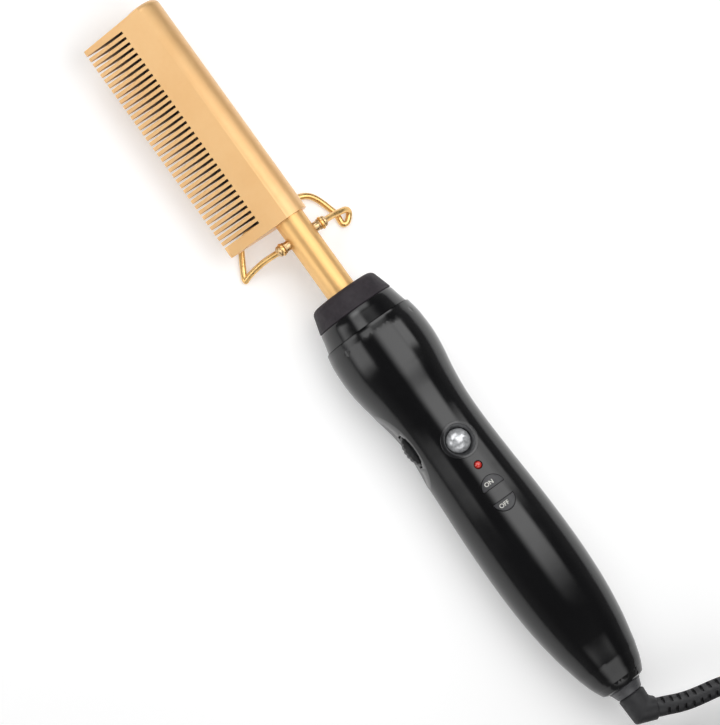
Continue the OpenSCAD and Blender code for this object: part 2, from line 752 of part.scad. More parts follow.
module button(side) {
  intersection() {
    d_cap(side, button_r, cap_low - 0.1, face_z + 1);
    handle_form(-proud, buttons_at - 10, buttons_at + 10);
  }
  d_cap(side, button_r + flange, cap_low - 1.2, cap_low);
  post(stem_x(side), 0, plunger_top, cap_low - 1.1, stem_r);
}
module plunger(side) {
  post(stem_x(side), 0, board_z + board_t + switch_floor + button_travel + gap, plunger_top, plunger_r);
}
module on_button() { color([0.22, 0.22, 0.24]) button(1); }
module off_button() { color([0.22, 0.22, 0.24]) button(-1); }
module on_plunger() { color([0.1, 0.1, 0.1]) plunger(1); }
module off_plunger() { color([0.1, 0.1, 0.1]) plunger(-1); }
module button_switches() {
  color([0.5, 0.5, 0.52]) for (side = [-1, 1]) {
    cx = stem_x(side);
    difference() {
      block(cx - switch_w / 2, cx + switch_w / 2, -switch_w / 2, switch_w / 2,
        board_z + board_t, board_z + board_t + switch_h);
      post(cx, 0, board_z + board_t + switch_floor, 5, plunger_r + run);
    }
  }
}

// ---- Control board ----
board_w = 20;
relay = [10.5, 4.5, 9];
capacitor_r = 4;
capacitor_h = 9;
module control_board() {
  color([0.1, 0.4, 0.22]) difference() {
    block(board_back, board_front, -board_w / 2, board_w / 2, board_z, board_z + board_t);
    for (s = board_spots) post(s[0], s[1], board_z - 1, board_z + board_t + 1, board_screw_r + 3 * fit);
  }
}
module board_components() {
  z0 = board_z + board_t;
  color([0.15, 0.15, 0.16]) {
    block(board_back + 14, board_back + 14 + relay.x, -4 - relay.y, -4, z0, z0 + relay.z);
    post(board_back + 18, capacitor_r, z0, z0 + capacitor_h, capacitor_r);
    block(board_back + 25.5, board_back + 30, 2 - board_w / 2, board_w / 2 - 2, z0, z0 + 5);
    block(board_front - 24, board_front - 19, 1 - board_w / 2, 5 - board_w / 2, z0, z0 + 1.6);
    block(board_front - 34, board_front - 28, 1 - board_w / 2, 3.6 - board_w / 2, z0, z0 + 2.4);
  }
}
module board_screws() {
  color([0.7, 0.7, 0.72]) for (s = board_spots) {
    post(s[0], s[1], board_z - 4, board_z + board_t + 0.1, board_screw_r);
    post(s[0], s[1], board_z + board_t + touch, board_z + board_t + 1.3, 2 * board_screw_r);
  }
}

// ---- Swivel and strain relief ----
shaft_r = 3;
flange_r = 6.6;
flange_x = tail_x + 3.6;
flange_t = 1.8;
socket_in = 13;
lip_x = tail_x - tail_round - touch;
socket_end = lip_x - socket_len;
elbow_x = socket_end - gap;
elbow_len = 6.7;
knee_x = elbow_x - elbow_len;
knee_dir = [-cos(elbow_turn), -sin(elbow_turn), 0];
elbow_out = elbow_r + 0.1;
boot_from = [knee_x, 0, axis_h] + elbow_out * knee_dir;

module swivel_socket() {
  color([0.32, 0.32, 0.34]) on_axis(0) difference() {
    rotate_extrude() polygon([
      [0, socket_end], [socket_r - 1.4, socket_end], [socket_r - 0.4, lip_x - 1],
      [socket_r, lip_x - 0.5], [socket_r, lip_x], [tail_hole_r, lip_x],
      [tail_hole_r, flange_x], [flange_r, flange_x], [flange_r, flange_x + flange_t],
      [tail_hole_r, flange_x + flange_t], [tail_hole_r, tail_x + socket_in], [0, tail_x + socket_in]
    ]);
    translate([0, 0, tail_x - 10]) cylinder(r = shaft_r + run, h = socket_in + 12);
  }
}
module swivel_elbow() {
  color([0.06, 0.06, 0.07]) {
    bar(knee_x, elbow_x, elbow_r);
    bar(elbow_x - 1, tail_x + socket_in + 9, shaft_r);
    translate([knee_x, 0, axis_h]) sphere(r = elbow_r);
    translate([knee_x, 0, axis_h]) rotate([0, 0, 180 + elbow_turn]) rotate([0, 90, 0])
      cylinder(r = boot_r + 0.5, h = elbow_out);
  }
}
ring_r = shaft_r + 0.9;
ring_spots = [tail_x + socket_in + 2, tail_x + socket_in + 6.5];
module slip_rings() {
  color([0.85, 0.7, 0.35]) for (x = ring_spots) difference() {
    bar(x, x + 1.8, ring_r);
    bar(x - 1, x + 3, shaft_r + touch);
  }
}
module contact_springs() {
  low = -ring_r - gap;
  foot = -under_h(front_x - ring_spots[0], 4.5, wall) + 0.3;
  color([0.85, 0.65, 0.3]) for (i = [0, 1]) mirror([0, i, 0]) {
    x = ring_spots[i] + 0.3;
    block(x, x + 1.2, -1.5, 4.5, low - 0.5, low);
    block(x, x + 1.2, 4, 4.5, foot, low);
  }
}
module supply_leads() {
  color([0.75, 0.2, 0.15]) for (i = [0, 1]) tube(smooth([
    [ring_spots[i] + 0.9, 5.5 - 11 * i, axis_h - ring_r - 0.7],
    [ring_spots[i] + 4, 5.5 - 11 * i, axis_h - ring_r - 0.7],
    [ring_spots[i] + 10, 6 - 12 * i, axis_h - 3.5],
    [board_back + 1, 6 - 12 * i, axis_h - 3],
    [board_back + 8, 6 - 12 * i, axis_h + board_z + board_t + 1]
  ], 3), lead_r, 8);
}

// ---- Cord: strain relief, free lead, coil, tie and plug ----
// The strain relief's route, level with the axis, after its start at the elbow.
boot_points = [
  [-112, -7.8], [-113.9, -12], [-115.4, -16.4], [-116.5, -21], [-117.5, -25.6], [-118.9, -30.2],
  [-121.2, -34.6], [-124.4, -38.4], [-128.4, -41.4], [-133, -43.6]
];
boot_end_r = 3.05;
boot_line = smooth(
  concat([boot_from, boot_from + 1.6 * knee_dir], [for (p = boot_points) [p[0], p[1], axis_h]]), 4);
rib_rings = 4 * boot_ribs;
function along(p, t) =
  let (n = len(p) - 1, i = min(floor(t * n), n - 1), f = t * n - i) p[i] * (1 - f) + p[i + 1] * f;
boot_path = concat(
  [boot_line[0], boot_line[0] + 0.8 * knee_dir],
  [for (j = [1:rib_rings - 1]) along(boot_line, 0.03 + 0.94 * j / rib_rings)],
  [boot_line[len(boot_line) - 1]]
);
boot_radii = concat(
  [boot_r, boot_r],
  [for (j = [1:rib_rings - 1]) (boot_r + (boot_end_r - boot_r) * j / rib_rings) - (j % 4 > 1 ? 0.45 : 0)],
  [boot_end_r]
);
boot_exit = boot_path[len(boot_path) - 1];
boot_out = unit(boot_exit - boot_path[len(boot_path) - 2]);

// The coil: four layers, each winding in or out at a steady rate, climbing where the winding turns back.
coil_at = [-170, -12];
tie_t = 0.5;
tie_gap = 0.2;
tie_a = 100;
layer_h = cord_d + turn_gap;
low_z = cord_d / 2 + tie_t + tie_gap;
turn_in = layer_turns * (cord_d + turn_gap) / 2;
turns = 4 * layer_turns;
loop_rings = 24;
coil_steps = round(turns * loop_rings);
entry_a = 270;
function step_up(t) = t <= 0 ? 0 : t >= 1 ? 1 : t * t * (3 - 2 * t);
function wave(t) =
  let (k = floor(t / layer_turns), f = t / layer_turns - k)
  k % 2 == 0 ? 1 - 2 * f : 2 * f - 1;
function climb(t) = sum([for (k = [1:3]) step_up(2 * (t - k * layer_turns) + 0.5)]);
function coil_point(t) =
  let (r = coil_r + turn_in * wave(t), a = entry_a - 360 * t)
  [coil_at[0] + r * cos(a), coil_at[1] + r * sin(a), low_z + layer_h * (3 - climb(t))];
coil_start = coil_point(0);
coil_stop = coil_point(turns);
stop_dir = [cos(entry_a - 360 * turns - 90), sin(entry_a - 360 * turns - 90), 0];
plug_rise = plug_t / 2 - low_z;
plug_back = coil_stop + 34 * stop_dir + [0, 0, plug_rise];
tail_points = [
  for (j = [1:7]) coil_stop + (j * 4) * stop_dir + [0, 0, plug_rise * step_up(j / 7)],
  plug_back
];
coil_line = concat(
  [coil_start + [cord_d, 0, 0]],
  [for (i = [0:coil_steps]) coil_point(turns * i / coil_steps)],
  tail_points
);
// Least distance of the coil's centre line from itself, half a turn or more further on.
coil_least = min([
  for (i = [0:2:coil_steps], j = [i + 12:coil_steps])
    norm(coil_line[i + 1] - coil_line[j + 1])
]);
echo(coil_gap = coil_least - cord_d);

// The free lead from the strain relief to the coil's first turn.
lead_points = [
  boot_exit, boot_exit + cord_d * boot_out, [-142, -46.5, 16], [-150, -47.8, 17.4],
  [-158, -48.4, 19], coil_start + [cord_d * 1.6, 0, 0], coil_start + [cord_d, 0, 0]
];
lead_line = smooth(lead_points, 3);
echo(cord_length = route_len(lead_line) + route_len(coil_line));

module cord_boot() {
  color([0.06, 0.06, 0.07]) tube(boot_path, boot_radii, 12);
}
module cord_lead() {
  color([0.05, 0.05, 0.06]) tube(lead_line, cord_d / 2, 8);
}
module cord_coil() {
  color([0.05, 0.05, 0.06]) tube(coil_line, cord_d / 2, 6);
}
module cord_tie() {
  inner = [turn_in + cord_d / 2 + turn_gap, (3 * layer_h + cord_d) / 2 + tie_gap];
  mid_z = low_z + 1.5 * layer_h;
  color([0.1, 0.1, 0.11]) translate([coil_at[0], coil_at[1], 0]) rotate([0, 0, tie_a])
    translate([coil_r, 0, mid_z]) rotate([90, 0, 0]) linear_extrude(tie_w, center = true) difference() {
      square([2 * (inner[0] + tie_t), 2 * (inner[1] + tie_t)], center = true);
      square([2 * inner[0], 2 * inner[1]], center = true);
    }
}
module at_plug() {
  translate(plug_back) rotate([0, 0, entry_a - 360 * turns - 90]) children();
}
module plug_body() {
  color([0.05, 0.05, 0.06]) at_plug() union() {
    translate([plug_len * 0.45, -plug_w / 2, -plug_t / 2]) cube([plug_len * 0.55, plug_w, plug_t]);
    rotate([0, 90, 0]) cylinder(r = cord_d / 2 + 1.6, h = plug_len * 0.5);
    rotate([90, 0, 90]) translate([0, 0, plug_len * 0.2]) linear_extrude(plug_len * 0.3)
      square([plug_w * 0.75, plug_t * 0.85], center = true);
  }
}
module plug_blades() {
  color([0.85, 0.75, 0.5]) at_plug() for (s = [-1, 1]) difference() {
    translate([plug_len + fit, s * 6.35 - 0.75, -3.175]) cube([blade_len, 1.5, 6.35]);
    translate([plug_len + blade_len - 4.5, s * 6.35 + 3, 0]) rotate([90, 0, 0]) cylinder(r = 1.6, h = 6);
  }
}

comb_head();
heat_spreader_upper();
heat_spreader_lower();
heater_element();
heater_electrodes();
insulation_film();
temperature_sensor();
neck_tube();
neck_insulator();
heater_leads();
sensor_leads();
pivot_spacers();
pivot_washers();
pivot_screws();
stand_wire();
front_collar();
nose_ring();
front_shell();
back_shell();
shell_screws();
window_bezel();
window_lens();
temperature_wheel();
dial_plate();
potentiometer();
pilot_lamp();
on_button();
off_button();
on_plunger();
off_plunger();
button_switches();
control_board();
board_components();
board_screws();
swivel_socket();
swivel_elbow();
slip_rings();
contact_springs();
supply_leads();
cord_boot();
cord_lead();
cord_coil();
cord_tie();
plug_body();
plug_blades();
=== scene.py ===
import math

import bmesh
import bpy
from mathutils import Matrix, Vector


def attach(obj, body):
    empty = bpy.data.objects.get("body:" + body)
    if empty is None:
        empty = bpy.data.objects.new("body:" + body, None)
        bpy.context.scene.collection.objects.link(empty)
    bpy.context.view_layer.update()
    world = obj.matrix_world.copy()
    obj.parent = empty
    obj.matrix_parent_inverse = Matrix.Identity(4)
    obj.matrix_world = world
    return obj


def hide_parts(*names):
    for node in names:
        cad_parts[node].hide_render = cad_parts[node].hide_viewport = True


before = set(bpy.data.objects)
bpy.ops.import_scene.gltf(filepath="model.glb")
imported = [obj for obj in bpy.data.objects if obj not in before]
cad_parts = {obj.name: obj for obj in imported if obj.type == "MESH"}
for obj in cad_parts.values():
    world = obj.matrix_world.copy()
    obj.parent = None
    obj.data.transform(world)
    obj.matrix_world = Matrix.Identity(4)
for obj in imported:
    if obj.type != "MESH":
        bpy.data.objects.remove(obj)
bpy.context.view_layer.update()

# Metres. +X runs from the handle to the comb's tip, +Y to the teeth, +Z up; z = 0 is the table.
mm = 0.001
scene = bpy.context.scene
scene.view_settings.view_transform = "Standard"

# ---- Camera ----
# The picture looks down on the comb from 1.1 m, from over the handle and a little from the teeth's side.
# It is turned so that the comb runs from the upper left to the lower right.
camera_at = Vector((-4.1, 250.2, 1115)) * mm
camera_aim = Vector((45.1, 9.3, 15)) * mm
picture_up = math.radians(-36.1)
sensor = 36
lens = 162.3

camera_data = bpy.data.cameras.new("camera")
camera_data.sensor_fit = "VERTICAL"
camera_data.sensor_height = sensor
camera_data.lens = lens
camera_data.clip_start = 0.05
camera = bpy.data.objects.new("camera", camera_data)
scene.collection.objects.link(camera)
looks = (camera_aim - camera_at).normalized()
right = looks.cross(Vector((math.cos(picture_up), math.sin(picture_up), 0))).normalized()
camera.matrix_world = (
    Matrix.Translation(camera_at) @ Matrix((right, right.cross(looks), -looks)).transposed().to_4x4()
)
scene.camera = camera


# ---- Mains cord ----
# Round two-core cable in smooth black PVC, 5 mm thick and 1.8 m long, moulded into the strain relief.
# It runs to a coil of nine turns, tied for storage, and ends in the plug.
def bent(a, b, c, d, t):
    """Smooth curve from b to c, with a and d before and after them."""
    return b + 0.5 * t * (c - a + t * (2 * a - 5 * b + 4 * c - d + t * (3 * (b - c) + d - a)))


def smooth(points, steps):
    """Points of a smooth curve through the given ones."""
    last = len(points) - 1
    line = [
        bent(points[max(i - 1, 0)], points[i], points[i + 1], points[min(i + 2, last)], j / steps)
        for i in range(last)
        for j in range(steps)
    ]
    return line + [points[last]]


def step_up(t):
    t = min(max(t, 0), 1)
    return t * t * (3 - 2 * t)


def route_length(points):
    return sum((b - a).length for a, b in zip(points, points[1:]))


axis_h = 15 * mm
knee = Vector((-108.32 * mm, 0, axis_h))
elbow_turn = math.radians(64)
knee_dir = Vector((-math.cos(elbow_turn), -math.sin(elbow_turn), 0))
elbow_out = 5.1 * mm
boot_from = knee + elbow_out * knee_dir
boot_points = [
    (-112, -7.8), (-113.9, -12), (-115.4, -16.4), (-116.5, -21), (-117.5, -25.6), (-118.9, -30.2),
    (-121.2, -34.6), (-124.4, -38.4), (-128.4, -41.4), (-133, -43.6),
]
boot_start = [boot_from, boot_from + 1.6 * mm * knee_dir]
boot_line = smooth(boot_start + [Vector((x * mm, y * mm, axis_h)) for x, y in boot_points], 6)
boot_exit = boot_line[-1]
boot_out = (boot_line[-1] - boot_line[-2]).normalized()

cord_d = 5 * mm
coil_at = Vector((-170, -12, 0)) * mm
coil_r = 29.8 * mm
turn_gap = 0.45 * mm
layer_turns = 2.28125
tie_t = 0.5 * mm
tie_gap = 0.2 * mm
layer_h = cord_d + turn_gap
low_z = cord_d / 2 + tie_t + tie_gap
turn_in = layer_turns * layer_h / 2
turns = 4 * layer_turns
entry_a = 270
plug_t = 14 * mm
plug_lead = 34 * mm


def coil_point(t):
    """Four layers, each winding in or out at a steady rate, climbing where the winding turns back."""
    k = math.floor(t / layer_turns)
    part = t / layer_turns - k
    wave = 1 - 2 * part if k % 2 == 0 else 2 * part - 1
    climb = sum(step_up(2 * (t - n * layer_turns) + 0.5) for n in (1, 2, 3))
    r = coil_r + turn_in * wave
    a = math.radians(entry_a - 360 * t)
    return coil_at + Vector((r * math.cos(a), r * math.sin(a), low_z + layer_h * (3 - climb)))


coil_steps = round(turns * 48)
coil_start = coil_point(0)
coil_stop = coil_point(turns)
stop_a = math.radians(entry_a - 360 * turns - 90)
stop_dir = Vector((math.cos(stop_a), math.sin(stop_a), 0))
plug_rise = Vector((0, 0, plug_t / 2 - low_z))
plug_back = coil_stop + plug_lead * stop_dir + plug_rise
lead_points = [
    boot_exit,
    boot_exit + cord_d * boot_out,
    Vector((-0.142, -0.0465, 0.016)),
    Vector((-0.15, -0.0478, 0.0174)),
    Vector((-0.158, -0.0484, 0.019)),
    coil_start + Vector((1.6 * cord_d, 0, 0)),
    coil_start + Vector((cord_d, 0, 0)),
]
cord_line = (
    smooth(lead_points, 5)
    + [coil_point(turns * i / coil_steps) for i in range(coil_steps + 1)]
    + [coil_stop + 4 * mm * j * stop_dir + plug_rise * step_up(j / 7) for j in range(1, 8)]
    + [plug_back]
)


def swept_curve(name, points, radius, sides):
    """Round bar along points; radius is one number, or one for each point."""
    data = bpy.data.curves.new(name, "CURVE")
    data.dimensions = "3D"
    data.bevel_depth = 1
    data.bevel_resolution = sides // 4
    data.use_fill_caps = True
    spline = data.splines.new("POLY")
    spline.points.add(len(points) - 1)
    radii = radius if isinstance(radius, list) else [radius] * len(points)
    for point, place, r in zip(spline.points, points, radii):
        point.co = (*place, 1)
        point.radius = r
    spline.use_smooth = True
    piece = bpy.data.objects.new(name, data)
    scene.collection.objects.link(piece)
    return piece


class Finish:
    """Material whose colour, roughness and relief vary with fine noise on Object coordinates."""

    def __init__(self, name, color, rough, metallic=0.0):
        self.material = bpy.data.materials.new(name)
        self.material.use_nodes = True
        self.tree = self.material.node_tree
        self.shader = self.tree.nodes["Principled BSDF"]
        self.shader.inputs["Base Color"].default_value = (*color, 1)
        self.shader.inputs["Roughness"].default_value = rough
        self.shader.inputs["Metallic"].default_value = metallic
        self.color = color
        self.rough = rough
        self.coords = self.node("ShaderNodeTexCoord").outputs["Object"]
        self.relief = None

    def node(self, kind, **values):
        made = self.tree.nodes.new(kind)
        for key, value in values.items():
            setattr(made, key, value)
        return made

    def link(self, source, target):
        self.tree.links.new(source, target)

    def noise(self, size, detail=3.0, stretch=(1, 1, 1)):
        """Noise from 0 to 1 whose grains are about size metres, longer where stretch is small."""
        place = self.node("ShaderNodeMapping")
        place.inputs["Scale"].default_value = stretch
        self.link(self.coords, place.inputs["Vector"])
        made = self.node("ShaderNodeTexNoise")
        made.inputs["Scale"].default_value = 1 / size
        made.inputs["Detail"].default_value = detail
        self.link(place.outputs["Vector"], made.inputs["Vector"])
        return made.outputs["Fac"]

    def spread(self, source, low, high, start=0.3, end=0.7):
        made = self.node("ShaderNodeMapRange")
        for key, value in (("From Min", start), ("From Max", end), ("To Min", low), ("To Max", high)):
            made.inputs[key].default_value = value
        self.link(source, made.inputs["Value"])
        return made.outputs["Result"]

    def mottle(self, size, other, start=0.35, end=0.65, detail=4.0, stretch=(1, 1, 1)):
        """The colour drifts to another one."""
        return self.blend_to(other, self.spread(self.noise(size, detail, stretch), 0, 1, start, end))

    def blend_to(self, other, factor):
        """The colour goes over to another one where the factor rises to 1."""
        made = self.node("ShaderNodeMix", data_type="RGBA")
        source = self.shader.inputs["Base Color"]
        if source.is_linked:
            self.link(source.links[0].from_socket, made.inputs["A"])
        else:
            made.inputs["A"].default_value = (*self.color, 1)
        made.inputs["B"].default_value = (*other, 1)
        self.link(factor, made.inputs["Factor"])
        self.link(made.outputs["Result"], source)
        return self

    def along_y(self, other, start, end):
        """The colour goes over to another one from one Y to the next."""
        split = self.node("ShaderNodeSeparateXYZ")
        self.link(self.coords, split.inputs["Vector"])
        return self.blend_to(other, self.spread(split.outputs["Y"], 0, 1, start, end))

    def around(self, other, x, y, inner, outer):
        """The colour goes over to another one from one distance to the next off an upright line."""
        flat = self.node("ShaderNodeVectorMath", operation="MULTIPLY")
        flat.inputs[1].default_value = (1, 1, 0)
        off = self.node("ShaderNodeVectorMath", operation="DISTANCE")
        off.inputs[1].default_value = (x, y, 0)
        self.link(self.coords, flat.inputs[0])
        self.link(flat.outputs["Vector"], off.inputs[0])
        return self.blend_to(other, self.spread(off.outputs["Value"], 0, 1, inner, outer))

    def worn(self, size, low, high, detail=5.0, stretch=(1, 1, 1)):
        """The roughness wanders between low and high."""
        self.link(self.spread(self.noise(size, detail, stretch), low, high), self.shader.inputs["Roughness"])
        return self

    def bumps(self, size, depth, detail=2.0, stretch=(1, 1, 1)):
        """Relief of that grain and depth, added on what is there."""
        made = self.node("ShaderNodeBump")
        made.inputs["Strength"].default_value = 1.0
        made.inputs["Distance"].default_value = depth
        self.link(self.noise(size, detail, stretch), made.inputs["Height"])
        if self.relief:
            self.link(self.relief, made.inputs["Normal"])
        self.relief = made.outputs["Normal"]
        self.link(self.relief, self.shader.inputs["Normal"])
        return self

    def set(self, **sockets):
        for key, value in sockets.items():
            self.shader.inputs[key.replace("_", " ")].default_value = value
        return self


def dress(piece, finish, body=None, replaces=()):
    """Gives a piece its material and body, and hides the nodes that it stands for."""
    piece.data.materials.clear()
    piece.data.materials.append(finish.material)
    if body:
        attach(piece, body)
    if replaces:
        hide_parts(*replaces)
    return piece


cord_black = (
    Finish("cord_black", (0.012, 0.012, 0.013), 0.42)
    .mottle(9 * mm, (0.02, 0.02, 0.022))
    .worn(3 * mm, 0.34, 0.5)
    .bumps(0.5 * mm, 0.02 * mm)
)
mains_cord = swept_curve("mains_cord", cord_line, cord_d / 2, 16)
dress(mains_cord, cord_black, "cord_swivel", ["cord_lead", "cord_coil"])


# ---- Strain relief ----
# Matt black rubber, moulded on the cord and pushed on the elbow; it tapers from 6.8 to 6.1 mm.
# Slots on four sides, each row half a pitch from the next, let it bend and leave four solid spines.
boot_r = 3.4 * mm
boot_end_r = 3.05 * mm
boot_ribs = 15
boot_sides = 48
slot_depth = 1.15 * mm
slot_half = 29
slot_rows = ((45, 0), (225, 0), (135, 1), (315, 1))
boot_lip = 0.03
boot_len = route_length(boot_line)


def place_on(points, s):
    """Point and heading at the distance s along points."""
    for a, b in zip(points, points[1:]):
        step = (b - a).length
        if s <= step or b is points[-1]:
            return a.lerp(b, s / step), (b - a).normalized()
        s -= step


def new_piece(name, bm, sharp=40):
    """Object from a bmesh, smooth but for edges past the sharp angle."""
    data = bpy.data.meshes.new(name)
    bm.to_mesh(data)
    bm.free()
    data.shade_smooth()
    data.set_sharp_from_angle(angle=math.radians(sharp))
    piece = bpy.data.objects.new(name, data)
    scene.collection.objects.link(piece)
    return piece


def ring_tube(bm, stations, sides):
    """Straight tube along X: a ring of that many sides at each station (x, radius), with closed ends."""
    upright = Matrix.Rotation(math.pi / 2, 4, "Y")
    ring = bmesh.ops.create_circle(bm, segments=sides, radius=1, matrix=upright)["verts"]
    edges = list({e for v in ring for e in v.link_edges})
    rings = [ring]
    for x, r in stations[1:]:
        made = bmesh.ops.extrude_edge_only(bm, edges=edges)["geom"]
        ring = [g for g in made if isinstance(g, bmesh.types.BMVert)]
        edges = [g for g in made if isinstance(g, bmesh.types.BMEdge) and all(v in ring for v in g.verts)]
        rings.append(ring)
    for ring, (x, r) in zip(rings, stations):
        for v in ring:
            out = Vector((0, v.co.y, v.co.z)).normalized()
            v.co = Vector((x, 0, 0)) + r * out
    bmesh.ops.holes_fill(bm, edges=[e for e in bm.edges if e.is_boundary], sides=sides)
    bmesh.ops.recalc_face_normals(bm, faces=bm.faces)
    return rings


def bend_along(bm, points):
    """Carries a straight tube along X over to the route."""
    for v in bm.verts:
        at, heading = place_on(points, max(v.co.x, 0))
        side = Vector((-heading.y, heading.x, 0)).normalized()
        v.co = at + v.co.y * side + v.co.z * side.cross(heading) * -1


pitch = boot_len * (1 - 2 * boot_lip) / boot_ribs
stations = [(0, boot_r)]
for rib in range(boot_ribs):
    for share in (0.06, 0.46, 0.56, 0.96):
        s = boot_len * boot_lip + pitch * (rib + share)
        stations.append((s, boot_r + (boot_end_r - boot_r) * s / boot_len))
stations += [
    (boot_len * 0.995, boot_end_r),
    (boot_len, boot_end_r - 0.25 * mm),
    (boot_len, cord_d / 2 + 0.05 * mm),
]
bm = bmesh.new()
ring_tube(bm, stations, boot_sides)
slots = []
for face in bm.faces:
    at = face.calc_center_median()
    share = ((at.x - boot_len * boot_lip) / pitch) % 1
    turned = math.degrees(math.atan2(at.z, at.y)) % 360
    for middle, late in slot_rows:
        inside = 0.56 < share < 0.96 if late else 0.06 < share < 0.46
        rib_wall = boot_len * boot_lip < at.x < boot_len * (1 - boot_lip)
        if inside and rib_wall and abs(turned - middle) < slot_half and len(face.verts) == 4:
            slots.append(face)
bmesh.ops.inset_region(bm, faces=slots, thickness=0.1 * mm, depth=-slot_depth, use_even_offset=True)
bend_along(bm, boot_line)
bmesh.ops.recalc_face_normals(bm, faces=bm.faces)
strain_relief = new_piece("strain_relief", bm, 35)
rubber_black = (
    Finish("rubber_black", (0.018, 0.018, 0.02), 0.55)
    .mottle(6 * mm, (0.03, 0.03, 0.032))
    .worn(2 * mm, 0.46, 0.66)
    .bumps(0.25 * mm, 0.02 * mm)
)
dress(strain_relief, rubber_black, "cord_swivel", ["cord_boot"])


# ---- Cord tie ----
# Strap of woven hook-and-loop tape, 8 mm wide, closed once round the coil's four layers as one plain loop.
tie_w = 8 * mm
tie_a = math.radians(100)
tie_round = 1.4 * mm


def tie_outline(spare):
    """Round-cornered loop round the coil's section, that much outside the cords, from its middle on top."""
    half_w = turn_in + cord_d / 2 + turn_gap + spare
    half_h = (3 * layer_h + cord_d) / 2 + tie_gap + spare
    corners = [(1, 1, 90), (1, -1, 0), (-1, -1, 270), (-1, 1, 180)]
    loop = []
    for sx, sz, start in corners:
        for i in range(7):
            a = math.radians(start - 15 * i)
            loop.append((
                sx * (half_w - tie_round) + tie_round * math.cos(a),
                sz * (half_h - tie_round) + tie_round * math.sin(a),
            ))
    return loop


def strap(loop, closed):
    """Strip as wide as the tie that follows a loop in the coil's section."""
    bm = bmesh.new()
    verts = [bm.verts.new((r, -tie_w / 2, z)) for r, z in loop]
    edges = [bm.edges.new(pair) for pair in zip(verts, verts[1:])]
    if closed:
        edges.append(bm.edges.new((verts[-1], verts[0])))
    wide = bmesh.ops.extrude_edge_only(bm, edges=edges)["geom"]
    bmesh.ops.translate(bm, vec=(0, tie_w, 0), verts=[g for g in wide if isinstance(g, bmesh.types.BMVert)])
    return bm


tie_place = (
    Matrix.Translation(coil_at)
    @ Matrix.Rotation(tie_a, 4, "Z")
    @ Matrix.Translation((coil_r, 0, low_z + 1.5 * layer_h))
)
bm = strap(tie_outline(tie_t / 2), True)
bmesh.ops.transform(bm, matrix=tie_place, verts=bm.verts)
bmesh.ops.recalc_face_normals(bm, faces=bm.faces)
coil_strap = new_piece("coil_strap", bm, 60)
wall = coil_strap.modifiers.new("thickness", "SOLIDIFY")
wall.thickness = tie_t * 0.9
wall.offset = 0
rounded = coil_strap.modifiers.new("edges", "BEVEL")
rounded.width = 0.12 * mm
rounded.segments = 2
rounded.limit_method = "ANGLE"
tie_black = (
    Finish("tie_black", (0.02, 0.02, 0.022), 0.85)
    .mottle(1.2 * mm, (0.045, 0.045, 0.05))
    .bumps(0.35 * mm, 0.12 * mm)
    .set(Sheen_Weight=0.3, Sheen_Roughness=0.5)
)
dress(coil_strap, tie_black, "cord_swivel", ["cord_tie"])


# ---- Mains plug ----
# Two-blade plug, moulded in black PVC on the cord's end, with grip ridges on both broad sides.
# Its body widens from the cord to the flat front face; the brass blades are pressed in.
ridges_from = 18.0
ridges_to = 26.0
ridge_cuts = 9
ridge_step = (ridges_to - ridges_from) / (ridge_cuts + 1)
ridge_half = 8.5 * mm
ridge_deep = 0.5 * mm
plug_place = Matrix.Translation(plug_back) @ Matrix.Rotation(stop_a, 4, "Z")
plug_stations = [
    # distance from the cord, half width, half height, squareness
    (0.0, 3.4, 3.4, 2.0),
    (0.6, 4.1, 4.1, 2.0),
    (5.0, 4.2, 4.2, 2.0),
    (6.5, 5.4, 4.9, 2.2),
    (10.0, 8.4, 5.9, 2.8),
    (14.0, 10.9, 6.6, 3.6),
    (ridges_from, 11.8, 6.95, 4.4),
    (ridges_to, 11.95, 6.95, 5.0),
    (29.2, 11.9, 6.9, 5.0),
    (30.0, 11.2, 6.2, 5.0),
]
bm = bmesh.new()
rings = ring_tube(bm, [(x * mm, 1) for x, w, h, n in plug_stations], 64)
for ring, (x, w, h, n) in zip(rings, plug_stations):
    for v in ring:
        a = math.atan2(v.co.z, v.co.y)
        c, s = math.cos(a), math.sin(a)
        reach = (abs(c) ** n + abs(s) ** n) ** (-1 / n)
        v.co.y, v.co.z = w * mm * reach * c, h * mm * reach * s
grip_edges = [e for e in bm.edges if {round(v.co.x / mm, 1) for v in e.verts} == {ridges_from, ridges_to}]
grips = bmesh.ops.subdivide_edges(bm, edges=grip_edges, cuts=ridge_cuts)
for v in {v for g in grips["geom_inner"] if isinstance(g, bmesh.types.BMEdge) for v in g.verts}:
    if round((v.co.x / mm - ridges_from) / ridge_step) % 2 == 1 and abs(v.co.y) < ridge_half:
        v.co.z -= math.copysign(ridge_deep, v.co.z)
bmesh.ops.transform(bm, matrix=plug_place, verts=bm.verts)
plug_body = new_piece("plug_moulding", bm, 50)
plug_black = (
    Finish("plug_black", (0.014, 0.014, 0.015), 0.4)
    .mottle(7 * mm, (0.022, 0.022, 0.024))
    .worn(2.5 * mm, 0.32, 0.5)
    .bumps(0.4 * mm, 0.025 * mm)
)
dress(plug_body, plug_black, "cord_swivel", ["plug_body"])


